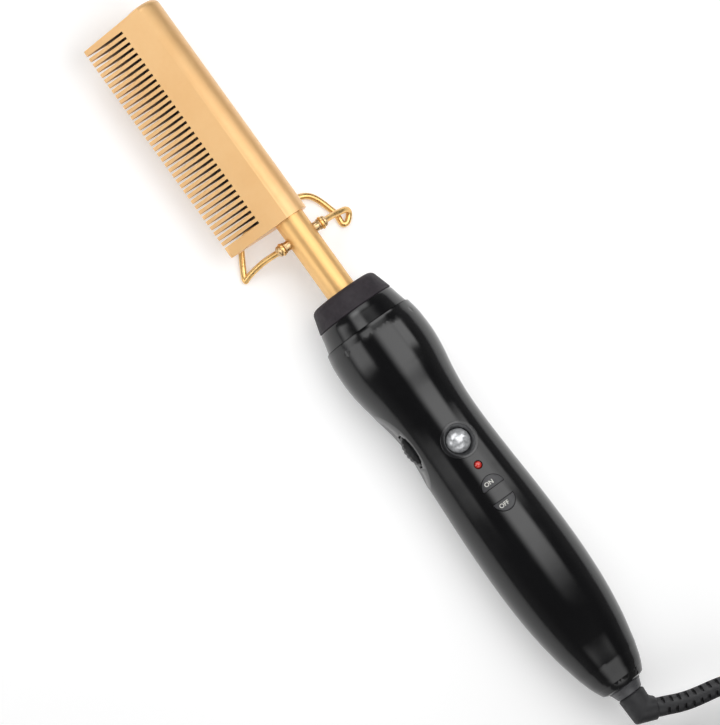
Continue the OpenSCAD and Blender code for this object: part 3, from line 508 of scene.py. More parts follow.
def cad_copy(node, name, edge=0.15 * mm, segments=2, angle=34, smooth_angle=40):
    """A node's own shape with its loose triangles joined, and its sharp edges rounded off."""
    bm = bmesh.new()
    bm.from_mesh(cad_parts[node].data)
    bmesh.ops.remove_doubles(bm, verts=bm.verts, dist=0.001 * mm)
    bmesh.ops.dissolve_limit(
        bm, angle_limit=math.radians(0.4), use_dissolve_boundaries=False, verts=bm.verts, edges=bm.edges
    )
    if edge:
        hard = [e for e in bm.edges if len(e.link_faces) == 2 and e.calc_face_angle(0) > math.radians(angle)]
        bmesh.ops.bevel(
            bm, geom=hard, offset=edge, offset_type="OFFSET", affect="EDGES", segments=segments, profile=0.5,
            material=-1, clamp_overlap=True,
        )
    return new_piece(name, bm, smooth_angle)


def even_shading(piece):
    """Flat faces keep their own shading beside round ones."""
    made = piece.modifiers.new("shading", "WEIGHTED_NORMAL")
    made.keep_sharp = True
    made.weight = 80
    return piece


plug_blades = even_shading(cad_copy("plug_blades", "blades", 0.3 * mm, 3))
contact_brass = (
    Finish("contact_brass", (0.72, 0.5, 0.22), 0.3, 1.0)
    .mottle(2 * mm, (0.6, 0.4, 0.17))
    .worn(1.5 * mm, 0.22, 0.42, stretch=(1, 1, 0.2))
    .bumps(0.2 * mm, 0.008 * mm, stretch=(1, 1, 0.2))
)
dress(plug_blades, contact_brass, "cord_swivel", ["plug_blades"])
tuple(boot_exit)
route_length(cord_line)


# ---- Table and studio light ----
# Matt white table under a dim tent: pale at the horizon, dark overhead, so that black gloss stays black.
# One softbox hangs over the handle, a small one over its nose, and others over the head and on three sides.
floor_white = Finish("floor_white", (0.84, 0.84, 0.84), 0.9).mottle(0.4, (0.82, 0.82, 0.82))
floor_glow = 0.3
seen = floor_white.node("ShaderNodeLightPath")
lit = None
for ray in ("Is Camera Ray", "Is Glossy Ray", "Is Transmission Ray"):
    if lit is None:
        lit = seen.outputs[ray]
        continue
    either = floor_white.node("ShaderNodeMath", operation="MAXIMUM")
    floor_white.link(lit, either.inputs[0])
    floor_white.link(seen.outputs[ray], either.inputs[1])
    lit = either.outputs[0]
glow = floor_white.node("ShaderNodeMath", operation="MULTIPLY")
glow.inputs[1].default_value = floor_glow
floor_white.link(lit, glow.inputs[0])
floor_white.link(glow.outputs[0], floor_white.shader.inputs["Emission Strength"])
floor_white.set(Emission_Color=(1, 1, 1, 1), Specular_IOR_Level=0.1)
bm = bmesh.new()
bmesh.ops.create_grid(bm, x_segments=8, y_segments=8, size=4)
table = new_piece("table", bm)
dress(table, floor_white)

tent = bpy.data.worlds.new("tent")
scene.world = tent
tent.use_nodes = True
tent_nodes = tent.node_tree.nodes
tent_links = tent.node_tree.links
direction = tent_nodes.new("ShaderNodeTexCoord")
height = tent_nodes.new("ShaderNodeSeparateXYZ")
fade = tent_nodes.new("ShaderNodeMapRange")
fade.interpolation_type = "SMOOTHSTEP"
for key, value in (("From Min", 0.08), ("From Max", 0.6), ("To Min", 0.2), ("To Max", 0.1)):
    fade.inputs[key].default_value = value
tent_links.new(direction.outputs["Generated"], height.inputs["Vector"])
tent_links.new(height.outputs["Z"], fade.inputs["Value"])
tent_links.new(fade.outputs["Result"], tent_nodes["Background"].inputs["Strength"])
tent_nodes["Background"].inputs["Color"].default_value = (1, 1, 1, 1)


def softbox(name, at, aim, width, height, radiance):
    """Rectangular light of that radiance, from a point towards another, that fades out to its edges."""
    data = bpy.data.lights.new(name, "AREA")
    data.use_nodes = True
    tree = data.node_tree
    split = tree.nodes.new("ShaderNodeSeparateXYZ")
    tree.links.new(tree.nodes.new("ShaderNodeNewGeometry").outputs["Parametric"], split.inputs["Vector"])
    both = tree.nodes.new("ShaderNodeMath")
    both.operation = "MULTIPLY"
    for n, axis in enumerate("XY"):
        off = tree.nodes.new("ShaderNodeMath")
        off.operation = "SUBTRACT"
        off.inputs[1].default_value = 0.5
        size = tree.nodes.new("ShaderNodeMath")
        size.operation = "ABSOLUTE"
        edge = tree.nodes.new("ShaderNodeMapRange")
        edge.interpolation_type = "SMOOTHSTEP"
        for key, value in (("From Min", 0.5), ("From Max", 0.22), ("To Min", 0), ("To Max", 1)):
            edge.inputs[key].default_value = value
        tree.links.new(split.outputs[axis], off.inputs[0])
        tree.links.new(off.outputs[0], size.inputs[0])
        tree.links.new(size.outputs[0], edge.inputs["Value"])
        tree.links.new(edge.outputs["Result"], both.inputs[n])
    tree.links.new(both.outputs[0], tree.nodes["Emission"].inputs["Strength"])
    data.shape = "RECTANGLE"
    data.size = width
    data.size_y = height
    data.energy = math.pi * width * height * radiance
    box = bpy.data.objects.new(name, data)
    scene.collection.objects.link(box)
    facing = (Vector(at) - Vector(aim)).normalized()
    across = Vector((1, 0, 0))
    across = (across - across.dot(facing) * facing).normalized()
    box.matrix_world = (
        Matrix.Translation(at) @ Matrix((across, facing.cross(across), facing)).transposed().to_4x4()
    )
    return box


softbox("above", (0.055, -0.095, 0.3), (0.055, -0.095, 0.03), 0.36, 0.36, 2.6)
softbox("above_nose", (0.085, -0.31, 0.28), (0.085, 0, 0.03), 0.2, 0.215, 2.6)
softbox("left", (0.17, 0.42, 0.25), (0.17, 0, 0.25), 0.36, 0.5, 2.0)
softbox("over_head", (0.36, 0.17, 0.45), (0.2, 0.02, 0.02), 0.3, 0.34, 2.0)
softbox("behind", (-1.1, 0.15, 0.95), (-0.09, 0, 0.02), 1.0, 2.4, 1.4)
softbox("ahead", (1.1, 0, 0.9), (0.1, 0, 0.02), 1.0, 1.6, 2.0)


# ---- Comb head ----
# One aluminium casting: a round spine that holds the heater, and a plate that thins out to 38 teeth.
# It is sand-blasted and anodised gold, so it is satin all over, with all its edges slightly rounded.
head_gold = (
    Finish("head_gold", (0.89, 0.56, 0.255), 0.46, 0.7)
    .mottle(14 * mm, (0.86, 0.52, 0.225))
    .worn(1.6 * mm, 0.42, 0.52)
    .bumps(0.22 * mm, 0.012 * mm, 3)
    .set(Coat_Weight=0.5, Coat_Roughness=0.3)
)
comb_head = even_shading(cad_copy("comb_head", "gold_head", 0.14 * mm, 2))
dress(comb_head, head_gold, "handle", ["comb_head"])
# Painted shade in the slots: their walls and roots are coloured dark brown at the roots, fading to tan
# towards the tips.
slot_painted_shade = (
    Finish("slot_painted_shade", (0.05, 0.02, 0.006), 0.6, 0.5)
    .along_y((0.75, 0.44, 0.19), 12 * mm, 26 * mm)
    .bumps(0.22 * mm, 0.012 * mm, 3)
)
comb_head.data.materials.append(slot_painted_shade.material)
# The slot walls and root faces take the painted slot shade.
for face in comb_head.data.polygons:
    if face.center.y > 10.4 * mm and 101.5 * mm < face.center.x < 188.2 * mm:
        if abs(face.normal.x) > 0.95 or (face.normal.y > 0.95 and face.center.y < 10.7 * mm):
            face.material_index = 1


# ---- Heater ----
# In the bore of the spine a ceramic plate lies between two electrodes, wrapped in amber film.
# Two half-round aluminium bars press it to the bore; a bead thermistor sits in the lower one.
spreader_aluminium = (
    Finish("spreader_aluminium", (0.6, 0.61, 0.63), 0.38, 1.0)
    .worn(1.5 * mm, 0.3, 0.5, stretch=(0.1, 1, 1))
    .bumps(0.3 * mm, 0.01 * mm, stretch=(0.1, 1, 1))
)
heater_ceramic = (
    Finish("heater_ceramic", (0.28, 0.25, 0.2), 0.7)
    .mottle(1 * mm, (0.36, 0.32, 0.26))
    .bumps(0.3 * mm, 0.02 * mm)
)
polyimide_film = (
    Finish("polyimide_film", (0.55, 0.24, 0.03), 0.25)
    .mottle(5 * mm, (0.62, 0.3, 0.05))
    .bumps(1.5 * mm, 0.05 * mm)
    .set(Transmission_Weight=0.3)
)
sensor_body = (
    Finish("sensor_body", (0.03, 0.03, 0.03), 0.4)
    .mottle(1 * mm, (0.05, 0.05, 0.05))
    .bumps(0.3 * mm, 0.01 * mm)
)
inner_finishes = {
    "heat_spreader_upper": spreader_aluminium,
    "heat_spreader_lower": spreader_aluminium,
    "heater_element": heater_ceramic,
    "heater_electrodes": contact_brass,
    "insulation_film": polyimide_film,
    "temperature_sensor": sensor_body,
}


# ---- Neck ----
# Drawn brass tube, polished and lacquered; it is pressed in the head and runs 30 mm into the handle.
# A turned ceramic sleeve carries its hot end in the shells, and the leads run through it.
neck_gold = (
    Finish("neck_gold", (0.88, 0.56, 0.24), 0.4, 0.8)
    .mottle(8 * mm, (0.84, 0.51, 0.2), stretch=(0.15, 1, 1))
    .worn(1.2 * mm, 0.37, 0.47, stretch=(0.05, 1, 1))
    .bumps(0.25 * mm, 0.004 * mm, stretch=(0.04, 1, 1))
)


def turned(name, outline, at, along, segments=96, sharp=30):
    """Piece turned about the X or Z axis through at, from (distance along, radius) points in millimetres.
    An outline that starts and ends on the axis gives a solid, and any other is closed to a ring."""
    bm = bmesh.new()
    verts = [bm.verts.new((r * mm, 0, x * mm)) for x, r in outline]
    edges = [bm.edges.new(pair) for pair in zip(verts, verts[1:])]
    if outline[0][1] > 0:
        edges.append(bm.edges.new((verts[-1], verts[0])))
    bmesh.ops.spin(
        bm, geom=verts + edges, axis=(0, 0, 1), cent=(0, 0, 0), angle=2 * math.pi, steps=segments,
        use_merge=True,
    )
    bmesh.ops.remove_doubles(bm, verts=bm.verts, dist=0.001 * mm)
    bmesh.ops.recalc_face_normals(bm, faces=bm.faces)
    lay = Matrix.Rotation(math.pi / 2, 4, "Y") if along == "X" else Matrix.Identity(4)
    bmesh.ops.transform(bm, matrix=Matrix.Translation(at) @ lay, verts=bm.verts)
    return new_piece(name, bm, sharp)


def soften(piece, width, segments=3, angle=32):
    """Rounds off a turned or built piece's edges."""
    made = piece.modifiers.new("edges", "BEVEL")
    made.width = width
    made.segments = segments
    made.limit_method = "ANGLE"
    made.angle_limit = math.radians(angle)
    made.harden_normals = True
    return piece


on_axis = Vector((0, 0, axis_h))
front_x = 60.3
collar_x = 68.7
rim_x = 100
neck_r = 5.5
neck_wall = 0.7
tube_x0 = collar_x - 30.4
tube_x1 = rim_x + 12 - 0.05
neck_bore_r = neck_r - neck_wall
neck_outline = [(tube_x0, neck_bore_r), (tube_x1, neck_bore_r), (tube_x1, neck_r), (tube_x0, neck_r)]
neck_tube = turned("neck", neck_outline, on_axis, "X")
dress(soften(neck_tube, 0.15 * mm), neck_gold, "handle", ["neck_tube"])
insulator_white = (
    Finish("insulator_white", (0.72, 0.69, 0.62), 0.5)
    .mottle(4 * mm, (0.66, 0.63, 0.56))
    .bumps(0.4 * mm, 0.02 * mm)
)
lead_white = (
    Finish("lead_white", (0.7, 0.7, 0.68), 0.5)
    .mottle(3 * mm, (0.62, 0.62, 0.6))
    .bumps(0.2 * mm, 0.02 * mm)
)
lead_yellow = (
    Finish("lead_yellow", (0.6, 0.48, 0.06), 0.5)
    .mottle(3 * mm, (0.52, 0.4, 0.05))
    .bumps(0.2 * mm, 0.02 * mm)
)
inner_finishes |= {"neck_insulator": insulator_white, "heater_leads": lead_white, "sensor_leads": lead_yellow}


# ---- Wire stand ----
# Bent from one gold-plated steel wire, 2.3 mm thick: a V-shaped foot, a looped one, a crossbar between.
# Its eyes are pressed flat and turn on two shouldered screws, between a washer and the screw's head.
wire_r = 1.15
pivot_x = rim_x - 7.5
foot_y = 22.4
crossbar_reach = 13.6
cross_x = pivot_x + crossbar_reach
foot_x = pivot_x - 0.6
foot_z = wire_r - 15
eye_r = 2.4
eye_t = 1.4
eye_y = neck_r + 1.7 + 0.05 + 0.4 + 0.1
screw_hole_r = 1.1


def stand_point(x, y, z):
    return Vector((x * mm, y * mm, axis_h + z * mm))


near_half = smooth([
    stand_point(pivot_x, eye_y + eye_t / 2 + 0.1, -eye_r - 0.4),
    stand_point(pivot_x + 0.4, foot_y * 0.5, foot_z * 0.33),
    stand_point(pivot_x + 0.7, foot_y * 0.68, foot_z * 0.6),
    stand_point(pivot_x + 0.2, foot_y * 0.88, foot_z * 0.86),
    stand_point(foot_x + 0.2, foot_y - 0.5, foot_z * 0.97),
    stand_point(foot_x, foot_y, foot_z),
    stand_point(foot_x + 0.9, foot_y - 0.1, foot_z),
    stand_point(foot_x + 3, foot_y * 0.95, foot_z),
    stand_point(foot_x + crossbar_reach * 0.62, foot_y * 0.81, foot_z),
    stand_point(cross_x - crossbar_reach * 0.16, foot_y * 0.7, foot_z),
    stand_point(cross_x - crossbar_reach * 0.05, foot_y * 0.5, foot_z),
    stand_point(cross_x, foot_y * 0.25, foot_z),
    stand_point(cross_x + 0.1, 0, foot_z),
], 6)
far_half = smooth([
    stand_point(pivot_x, -eye_y - eye_t / 2 - 0.1, -eye_r - 0.4),
    stand_point(pivot_x + 0.4, -foot_y * 0.5, foot_z * 0.33),
    stand_point(pivot_x + 0.5, -foot_y * 0.68, foot_z * 0.54),
    stand_point(pivot_x + 0.2, -foot_y * 0.86, foot_z * 0.72),
    stand_point(pivot_x - 0.2, -foot_y * 0.955, foot_z * 0.86),
    stand_point(pivot_x - 1.4, -foot_y * 0.975, foot_z * 0.97),
    stand_point(pivot_x - 3, -foot_y * 0.92, foot_z),
    stand_point(pivot_x - 3.9, -foot_y * 0.85, foot_z),
    stand_point(pivot_x - 3.1, -foot_y * 0.79, foot_z),
    stand_point(pivot_x + 0.4, -foot_y * 0.8, foot_z),
    stand_point(pivot_x + 2.4, -foot_y * 0.78, foot_z),
    stand_point(pivot_x + crossbar_reach * 0.6, -foot_y * 0.7, foot_z),
    stand_point(cross_x - crossbar_reach * 0.15, -foot_y * 0.6, foot_z),
    stand_point(cross_x - crossbar_reach * 0.03, -foot_y * 0.44, foot_z),
    stand_point(cross_x, -foot_y * 0.2, foot_z),
    stand_point(cross_x + 0.1, 0, foot_z),
], 6)
eye_stub = [stand_point(pivot_x, side * (eye_y + eye_t / 2), -eye_r + 0.45) for side in (1, -1)]
wire_line = eye_stub[:1] + near_half + far_half[-2::-1] + eye_stub[1:]


def to_mesh(piece, sharp=40):
    """A curve's finished mesh under the same name."""
    name = piece.name
    data = bpy.data.meshes.new_from_object(piece.evaluated_get(bpy.context.evaluated_depsgraph_get()))
    bpy.data.objects.remove(piece)
    bm = bmesh.new()
    bm.from_mesh(data)
    bpy.data.meshes.remove(data)
    bmesh.ops.remove_doubles(bm, verts=bm.verts, dist=0.0005 * mm)
    bmesh.ops.recalc_face_normals(bm, faces=bm.faces)
    return new_piece(name, bm, sharp)


def joined(name, pieces, sharp=40):
    """One piece made of several meshes."""
    bm = bmesh.new()
    for piece in pieces:
        bm.from_mesh(piece.data)
        bpy.data.objects.remove(piece)
    return new_piece(name, bm, sharp)


def eye_ring(side):
    """Flattened eye of the wire round a pivot screw."""
    r0, r1, c = screw_hole_r, eye_r, 0.45
    near = [(c, r0), (0, r0 + c), (0, r1 - c), (c, r1)]
    far = [(eye_t - x, r) for x, r in reversed(near)]
    ring = turned("eye", near + far, (0, 0, 0), "Z", 48)
    facing = Matrix.Rotation(-side * math.pi / 2, 4, "X")
    ring.data.transform(Matrix.Translation(stand_point(pivot_x, side * eye_y, 0)) @ facing)
    return ring


bpy.context.view_layer.update()
stand_bar = to_mesh(swept_curve("stand_bar", wire_line, wire_r * mm, 16))
stand = joined("bent_stand", [stand_bar, eye_ring(1), eye_ring(-1)])
wire_gold = (
    Finish("wire_gold", (0.88, 0.58, 0.24), 0.3, 1.0)
    .mottle(3 * mm, (0.8, 0.5, 0.19))
    .worn(1 * mm, 0.22, 0.4)
    .bumps(0.3 * mm, 0.008 * mm)
)
dress(stand, wire_gold, "stand", ["stand_wire"])
pivot_steel = (
    Finish("pivot_steel", (0.72, 0.5, 0.26), 0.28, 1.0)
    .mottle(1 * mm, (0.55, 0.38, 0.2))
    .worn(0.7 * mm, 0.2, 0.42)
    .bumps(0.2 * mm, 0.006 * mm)
)
pivot_pieces = {"pivot_spacers": "spacers", "pivot_washers": "washers", "pivot_screws": "stand_screws"}
for node, name in pivot_pieces.items():
    dress(even_shading(cad_copy(node, name, 0.08 * mm)), pivot_steel, "handle", [node])


# ---- Collar ----
# Heat-proof phenolic ring, matt and purplish black, moulded with a rounded front edge.
# It slides over the neck and snaps behind the nose ring, with a thin gap where the two meet.
collar_matt = (
    Finish("collar_matt", (0.016, 0.012, 0.016), 0.62)
    .mottle(5 * mm, (0.026, 0.02, 0.025))
    .worn(1.5 * mm, 0.54, 0.7)
    .bumps(0.3 * mm, 0.03 * mm)
    .set(Specular_IOR_Level=0.35)
)
seam_r = 14.95
collar_front_r = 13.1
collar_round = 2.4
collar_rim = [
    (
        collar_x - collar_round + collar_round * math.sin(math.radians(a)),
        collar_front_r - collar_round + collar_round * math.cos(math.radians(a)),
    )
    for a in range(10, 91, 10)
]
collar = turned(
    "collar",
    [(front_x + 0.12, neck_r + 0.1), (front_x + 0.12, seam_r - 0.5), (front_x + 0.5, seam_r - 0.15)]
    + collar_rim
    + [(collar_x, neck_r + 0.5), (collar_x - 0.4, neck_r + 0.1)],
    on_axis, "X", 128, 24,
)
dress(collar, collar_matt, "handle", ["front_collar"])


# ---- Nose ring ----
# Glossy black ring of ABS that holds the two shells together at their front end.
# It steps in to the collar, is 7 mm long and is cut flat underneath like the shells.
gloss_black = (
    Finish("gloss_black", (0.0025, 0.0025, 0.003), 0.13)
    .mottle(20 * mm, (0.0035, 0.0035, 0.004))
    .worn(6 * mm, 0.1, 0.17, 6)
    .bumps(2.5 * mm, 0.004 * mm, 1)
    .set(Specular_IOR_Level=0.55)
)
shell_x = front_x - 7
nose_r = 16.4
nose = turned(
    "nose",
    [
        (shell_x, 14.3), (shell_x, nose_r - 0.25), (shell_x + 0.25, nose_r), (shell_x + 2.2, nose_r - 0.5),
        (front_x - 2.4, seam_r + 0.35), (front_x - 0.6, seam_r), (front_x, seam_r - 0.35),
        (front_x, 12.2), (shell_x + 1, 12.2),
    ],
    on_axis, "X", 128, 24,
)


def cut_flat(piece, z=0.0, sharp=30):
    """Takes off what lies below z and closes the cut."""
    bm = bmesh.new()
    bm.from_mesh(piece.data)
    whole = bm.verts[:] + bm.edges[:] + bm.faces[:]
    cut = bmesh.ops.bisect_plane(bm, geom=whole, plane_co=(0, 0, z), plane_no=(0, 0, 1), clear_inner=True)
    rim = [g for g in cut["geom_cut"] if isinstance(g, bmesh.types.BMEdge)]
    bmesh.ops.triangle_fill(bm, edges=rim, use_beauty=True)
    bmesh.ops.recalc_face_normals(bm, faces=bm.faces)
    bm.to_mesh(piece.data)
    bm.free()
    piece.data.shade_smooth()
    piece.data.set_sharp_from_angle(angle=math.radians(sharp))
    return piece


dress(cut_flat(nose, sharp=24), gloss_black, "handle", ["nose_ring"])


# ---- Handle shells ----
# Two injection-moulded ABS shells with a mirror gloss, screwed together from below.
# The back shell wraps round the underside; the front one ends in a straight crease before the tail.
handle_outline = [
    (7, 17.1), (11, 17.9), (19, 18.25), (26, 17.7), (36, 16.05), (45, 15.15), (56, 15.05), (70, 15.55),
    (85, 16.3), (100, 16.7), (113, 16.6), (126, 15.8), (138, 14.15), (148, 11.95), (154, 10.1), (157.4, 8.3),
]


def handle_r(u):
    """Radius of the handle at the distance u from the collar seam, both in millimetres."""
    last = len(handle_outline) - 1
    i = max([n for n in range(last) if handle_outline[n][0] <= u], default=0)
    p, q, r, s = (handle_outline[min(max(n, 0), last)] for n in (i - 1, i, i + 1, i + 2))
    return bent(p[1], q[1], r[1], s[1], max(0, (u - q[0]) / (r[0] - q[0])))


def handle_normal(place):
    """Outward direction of the handle's turned form at a place."""
    u = front_x - place.x / mm
    slope = (handle_r(u + 0.4) - handle_r(u - 0.4)) / 0.8
    out = Vector((0, place.y, place.z - axis_h)).normalized()
    return Vector((slope, out.y, out.z)).normalized()


def true_skin(piece, proud=0.0):
    """Faces on the turned form, or proud of it, take its exact direction, so that reflections run smooth."""
    data = piece.data
    facing = [Vector()] * len(data.loops)
    for face in data.polygons:
        middle = face.center
        u = front_x - middle.x / mm
        if not 7 < u < 157.4:
            continue
        away = math.hypot(middle.y, middle.z - axis_h) / mm - handle_r(u) - proud
        if abs(away) > 0.06 or face.normal.dot(handle_normal(middle)) < 0.985:
            continue
        for n in face.loop_indices:
            facing[n] = handle_normal(data.vertices[data.loops[n].vertex_index].co)
    data.normals_split_custom_set(facing)
    return piece


for node, name in (("front_shell", "front_cover"), ("back_shell", "back_cover")):
    dress(true_skin(cad_copy(node, name, 0.18 * mm, 2)), gloss_black, "handle", [node])
screw_dark = (
    Finish("screw_dark", (0.16, 0.16, 0.17), 0.4, 1.0)
    .worn(0.8 * mm, 0.3, 0.5)
    .bumps(0.2 * mm, 0.008 * mm)
)
cover_screws = even_shading(cad_copy("shell_screws", "cover_screws", 0.1 * mm))
dress(cover_screws, screw_dark, "handle", ["shell_screws"])


# ---- Window ----
# Domed lens of clear acrylic, backed in silver, that stands over the dial and hides it.
# It is pressed in a glossy black bezel, whose funnel and rim catch the light.
window_x = (front_x - 56.9) * mm
bezel_proud = 0.35
window_r = 4.3
bezel_top = handle_r(56.9) + bezel_proud
bezel_gloss = (
    Finish("bezel_black", (0.008, 0.008, 0.009), 0.16)
    .mottle(3 * mm, (0.014, 0.014, 0.015))
    .worn(1 * mm, 0.12, 0.24)
    .bumps(0.6 * mm, 0.006 * mm)
    .set(Specular_IOR_Level=0.7)
)
bezel = true_skin(cad_copy("window_bezel", "bezel", 0.2 * mm, 3), bezel_proud)
dress(bezel, bezel_gloss, "handle", ["window_bezel"])
dome_r = 1.25 * window_r
dome_mid = bezel_top - 0.85 - dome_r
dome_edge = math.asin((window_r - 0.02) / dome_r)


def dome_line(middle, radius, edge, steps):
    """Outline of a dome from its top to the angle edge, as (height, radius) points."""
    angles = [edge * i / steps for i in range(steps + 1)]
    return [(middle + radius * math.cos(a), radius * math.sin(a)) for a in angles]


lens_wall = [(bezel_top - 5, window_r - 0.02), (bezel_top - 5.2, window_r - 0.3), (bezel_top - 5.2, 0)]
lens_piece = turned(
    "lens", dome_line(dome_mid, dome_r, dome_edge, 16) + lens_wall, Vector((window_x, 0, axis_h)), "Z", 96, 40
)
window_silver = (
    Finish("window_clear", (0.4, 0.41, 0.42), 0.12)
    .mottle(1.1 * mm, (0.7, 0.71, 0.73), 0.35, 0.7)
    .mottle(0.5 * mm, (0.25, 0.25, 0.26), 0.55, 0.8)
    .bumps(1.4 * mm, 0.02 * mm)
    .set(Coat_Weight=1.0, Coat_Roughness=0.04, Metallic=0.35)
)
dress(lens_piece, window_silver, "handle", ["window_lens"])


# ---- Pilot lamp ----
# Red 3 mm light-emitting diode that glows through its tinted epoxy dome.
# It is soldered to the board and its dome stands 0.5 mm out of a hole in the front shell.
lamp_x = (front_x - 67.5) * mm
lamp_r = 1.5
lamp_top = handle_r(67.5) + 0.5
lamp_wall = [(lamp_top - 5, lamp_r), (lamp_top - 5, 0)]
lamp_outline = dome_line(lamp_top - lamp_r, lamp_r, math.pi / 2, 12) + lamp_wall
leg_outline = [(0, 0), (0, 0.3), (11.5, 0.3), (11.5, 0)]
lamp_red = (
    Finish("lamp_red", (0.6, 0.035, 0.02), 0.15)
    .mottle(0.8 * mm, (0.42, 0.012, 0.008))
    # Painted shade: the dome turns dark red towards its rim, so that only its middle shows bright.
    .around((0.12, 0.003, 0.003), lamp_x, 0, 0.7 * mm, 1.4 * mm)
    .bumps(0.8 * mm, 0.01 * mm)
    .set(Coat_Weight=1.0, Coat_Roughness=0.05, Emission_Strength=0.3)
)
# The glow follows this colour, painted shade at the rim included.
lamp_color = lamp_red.shader.inputs["Base Color"].links[0].from_socket
lamp_red.link(lamp_color, lamp_red.shader.inputs["Emission Color"])
lamp = turned("lamp_dome", lamp_outline, Vector((lamp_x, 0, axis_h)), "Z", 48, 40)
legs = [
    turned("leg", leg_outline, Vector((lamp_x, side * 0.9 * mm, axis_h - 4.8 * mm)), "Z", 12)
    for side in (-1, 1)
]
dress(joined("pilot_light", [lamp] + legs), lamp_red, "handle", ["pilot_lamp"])


# ---- Buttons ----
# Two D-shaped caps of dark grey satin ABS on either side of a bridge of the front shell.
# ON and OFF are pad-printed on them in pale ink; each presses a switch through its plunger.
buttons_x = front_x - 79.2
button_spread = 5.3 / 2
button_proud = 0.35
letters_out = 1.75
letters_aside = 0.9
button_grey = (
    Finish("button_grey", (0.02, 0.02, 0.023), 0.4)
    .mottle(1.5 * mm, (0.034, 0.034, 0.037))
    .worn(0.8 * mm, 0.3, 0.45)
    .bumps(0.25 * mm, 0.01 * mm)
)
print_pale = (
    Finish("print_pale", (0.8, 0.8, 0.74), 0.5).mottle(0.4 * mm, (0.7, 0.7, 0.64)).bumps(0.1 * mm, 0.01 * mm)
)


def lettering(name, text, height, place):
    """Printed letters as a thin mesh, laid out in the XY plane about the origin and then carried to place."""
    data = bpy.data.curves.new(name, "FONT")
    data.body = text
    data.size = height
    data.align_x = "CENTER"
    data.align_y = "CENTER"
    data.extrude = 0.02 * mm
    piece = bpy.data.objects.new(name, data)
    scene.collection.objects.link(piece)
    bpy.context.view_layer.update()
    made = to_mesh(piece, 30)
    made.data.transform(place)
    return made


for side, name, text, size in ((1, "on_button", "ON", 2.2), (-1, "off_button", "OFF", 2.15)):
    cap = true_skin(cad_copy(name, name.replace("button", "cap"), 0.16 * mm, 3), button_proud)
    dress(cap, button_grey, name, [name])
    middle = Vector(((buttons_x + side * (button_spread + letters_out)) * mm, letters_aside * mm, 0))
    place = Matrix.Translation(middle) @ Matrix.Rotation(-math.pi / 2, 4, "Z")
    letters = lettering(name.replace("button", "letters"), text, size * mm, place)
    for v in letters.data.vertices:
        over = handle_r(front_x - v.co.x / mm) + button_proud
        v.co.z += axis_h + math.sqrt(over**2 - (v.co.y / mm) ** 2) * mm + 0.015 * mm
    dress(letters, print_pale, name)
switch_body = (
    Finish("switch_body", (0.12, 0.12, 0.13), 0.45)
    .mottle(2 * mm, (0.16, 0.16, 0.17))
    .bumps(0.3 * mm, 0.01 * mm)
)
component_black = (
    Finish("component_black", (0.03, 0.03, 0.032), 0.4)
    .mottle(2 * mm, (0.05, 0.05, 0.052))
    .bumps(0.3 * mm, 0.01 * mm)
)
inner_finishes |= {
    "on_plunger": component_black,
    "off_plunger": component_black,
    "button_switches": switch_body,
}


# ---- Temperature wheel ----
# Knurled thumb wheel of black ABS on the potentiometer's shaft; its edge stands out of the scoop.
# A pale printed plate with plain numbers lies in its top, under the window.
wheel_at = Vector(((front_x - 50.5) * mm, 4.5 * mm, axis_h))
wheel_t = 3.2 * mm
wheel_black = (
    Finish("wheel_black", (0.012, 0.012, 0.013), 0.45)
    .mottle(2 * mm, (0.022, 0.022, 0.024))
    .worn(0.8 * mm, 0.38, 0.55)
    .bumps(0.25 * mm, 0.015 * mm)
)
dress(
    even_shading(cad_copy("temperature_wheel", "thumb_wheel", 0.1 * mm)), wheel_black,
    "temperature_wheel", ["temperature_wheel"],
)
dial_print = (
    Finish("dial_print", (0.62, 0.62, 0.6), 0.4)
    .mottle(3 * mm, (0.55, 0.55, 0.53))
    .bumps(0.3 * mm, 0.005 * mm)
)
dial = even_shading(cad_copy("dial_plate", "dial", 0.05 * mm))
dress(dial, dial_print, "temperature_wheel", ["dial_plate"])
dial_steps = 8
dial_number_r = 7.2 * mm
dial_number_h = 2.6 * mm
numbers = []
for step in range(dial_steps):
    turn = Matrix.Rotation(2 * math.pi * step / dial_steps, 4, "Z")
    lift = Matrix.Translation((0, dial_number_r, wheel_t / 2 + 0.02 * mm))
    place = Matrix.Translation(wheel_at) @ turn @ lift
    numbers.append(lettering(f"number_{step + 1}", str(step + 1), dial_number_h, place))
dress(joined("dial_numbers", numbers), wheel_black, "temperature_wheel")
potentiometer_blue = (
    Finish("potentiometer_blue", (0.03, 0.09, 0.28), 0.4)
    .mottle(2 * mm, (0.04, 0.12, 0.34))
    .bumps(0.3 * mm, 0.01 * mm)
)
inner_finishes["potentiometer"] = potentiometer_blue


# ---- Control board ----
# Green glass-fibre board on two posts of the back shell, with its relay, capacitor and chips.
# Two self-tapping screws hold it; it feeds the heater through the lamp's and switches' circuits.
board_green = (
    Finish("board_green", (0.012, 0.12, 0.045), 0.35)
    .mottle(2.5 * mm, (0.02, 0.17, 0.06))
    .bumps(0.6 * mm, 0.02 * mm)
)
board_screw = (
    Finish("board_screw", (0.5, 0.5, 0.52), 0.3, 1.0)
    .worn(0.6 * mm, 0.22, 0.4)
    .bumps(0.2 * mm, 0.006 * mm)
)
lead_red = (
    Finish("lead_red", (0.45, 0.03, 0.02), 0.45)
    .mottle(3 * mm, (0.36, 0.02, 0.015))
    .bumps(0.2 * mm, 0.02 * mm)
)
inner_finishes |= {
    "control_board": board_green,
    "board_components": component_black,
    "board_screws": board_screw,
    "supply_leads": lead_red,
}


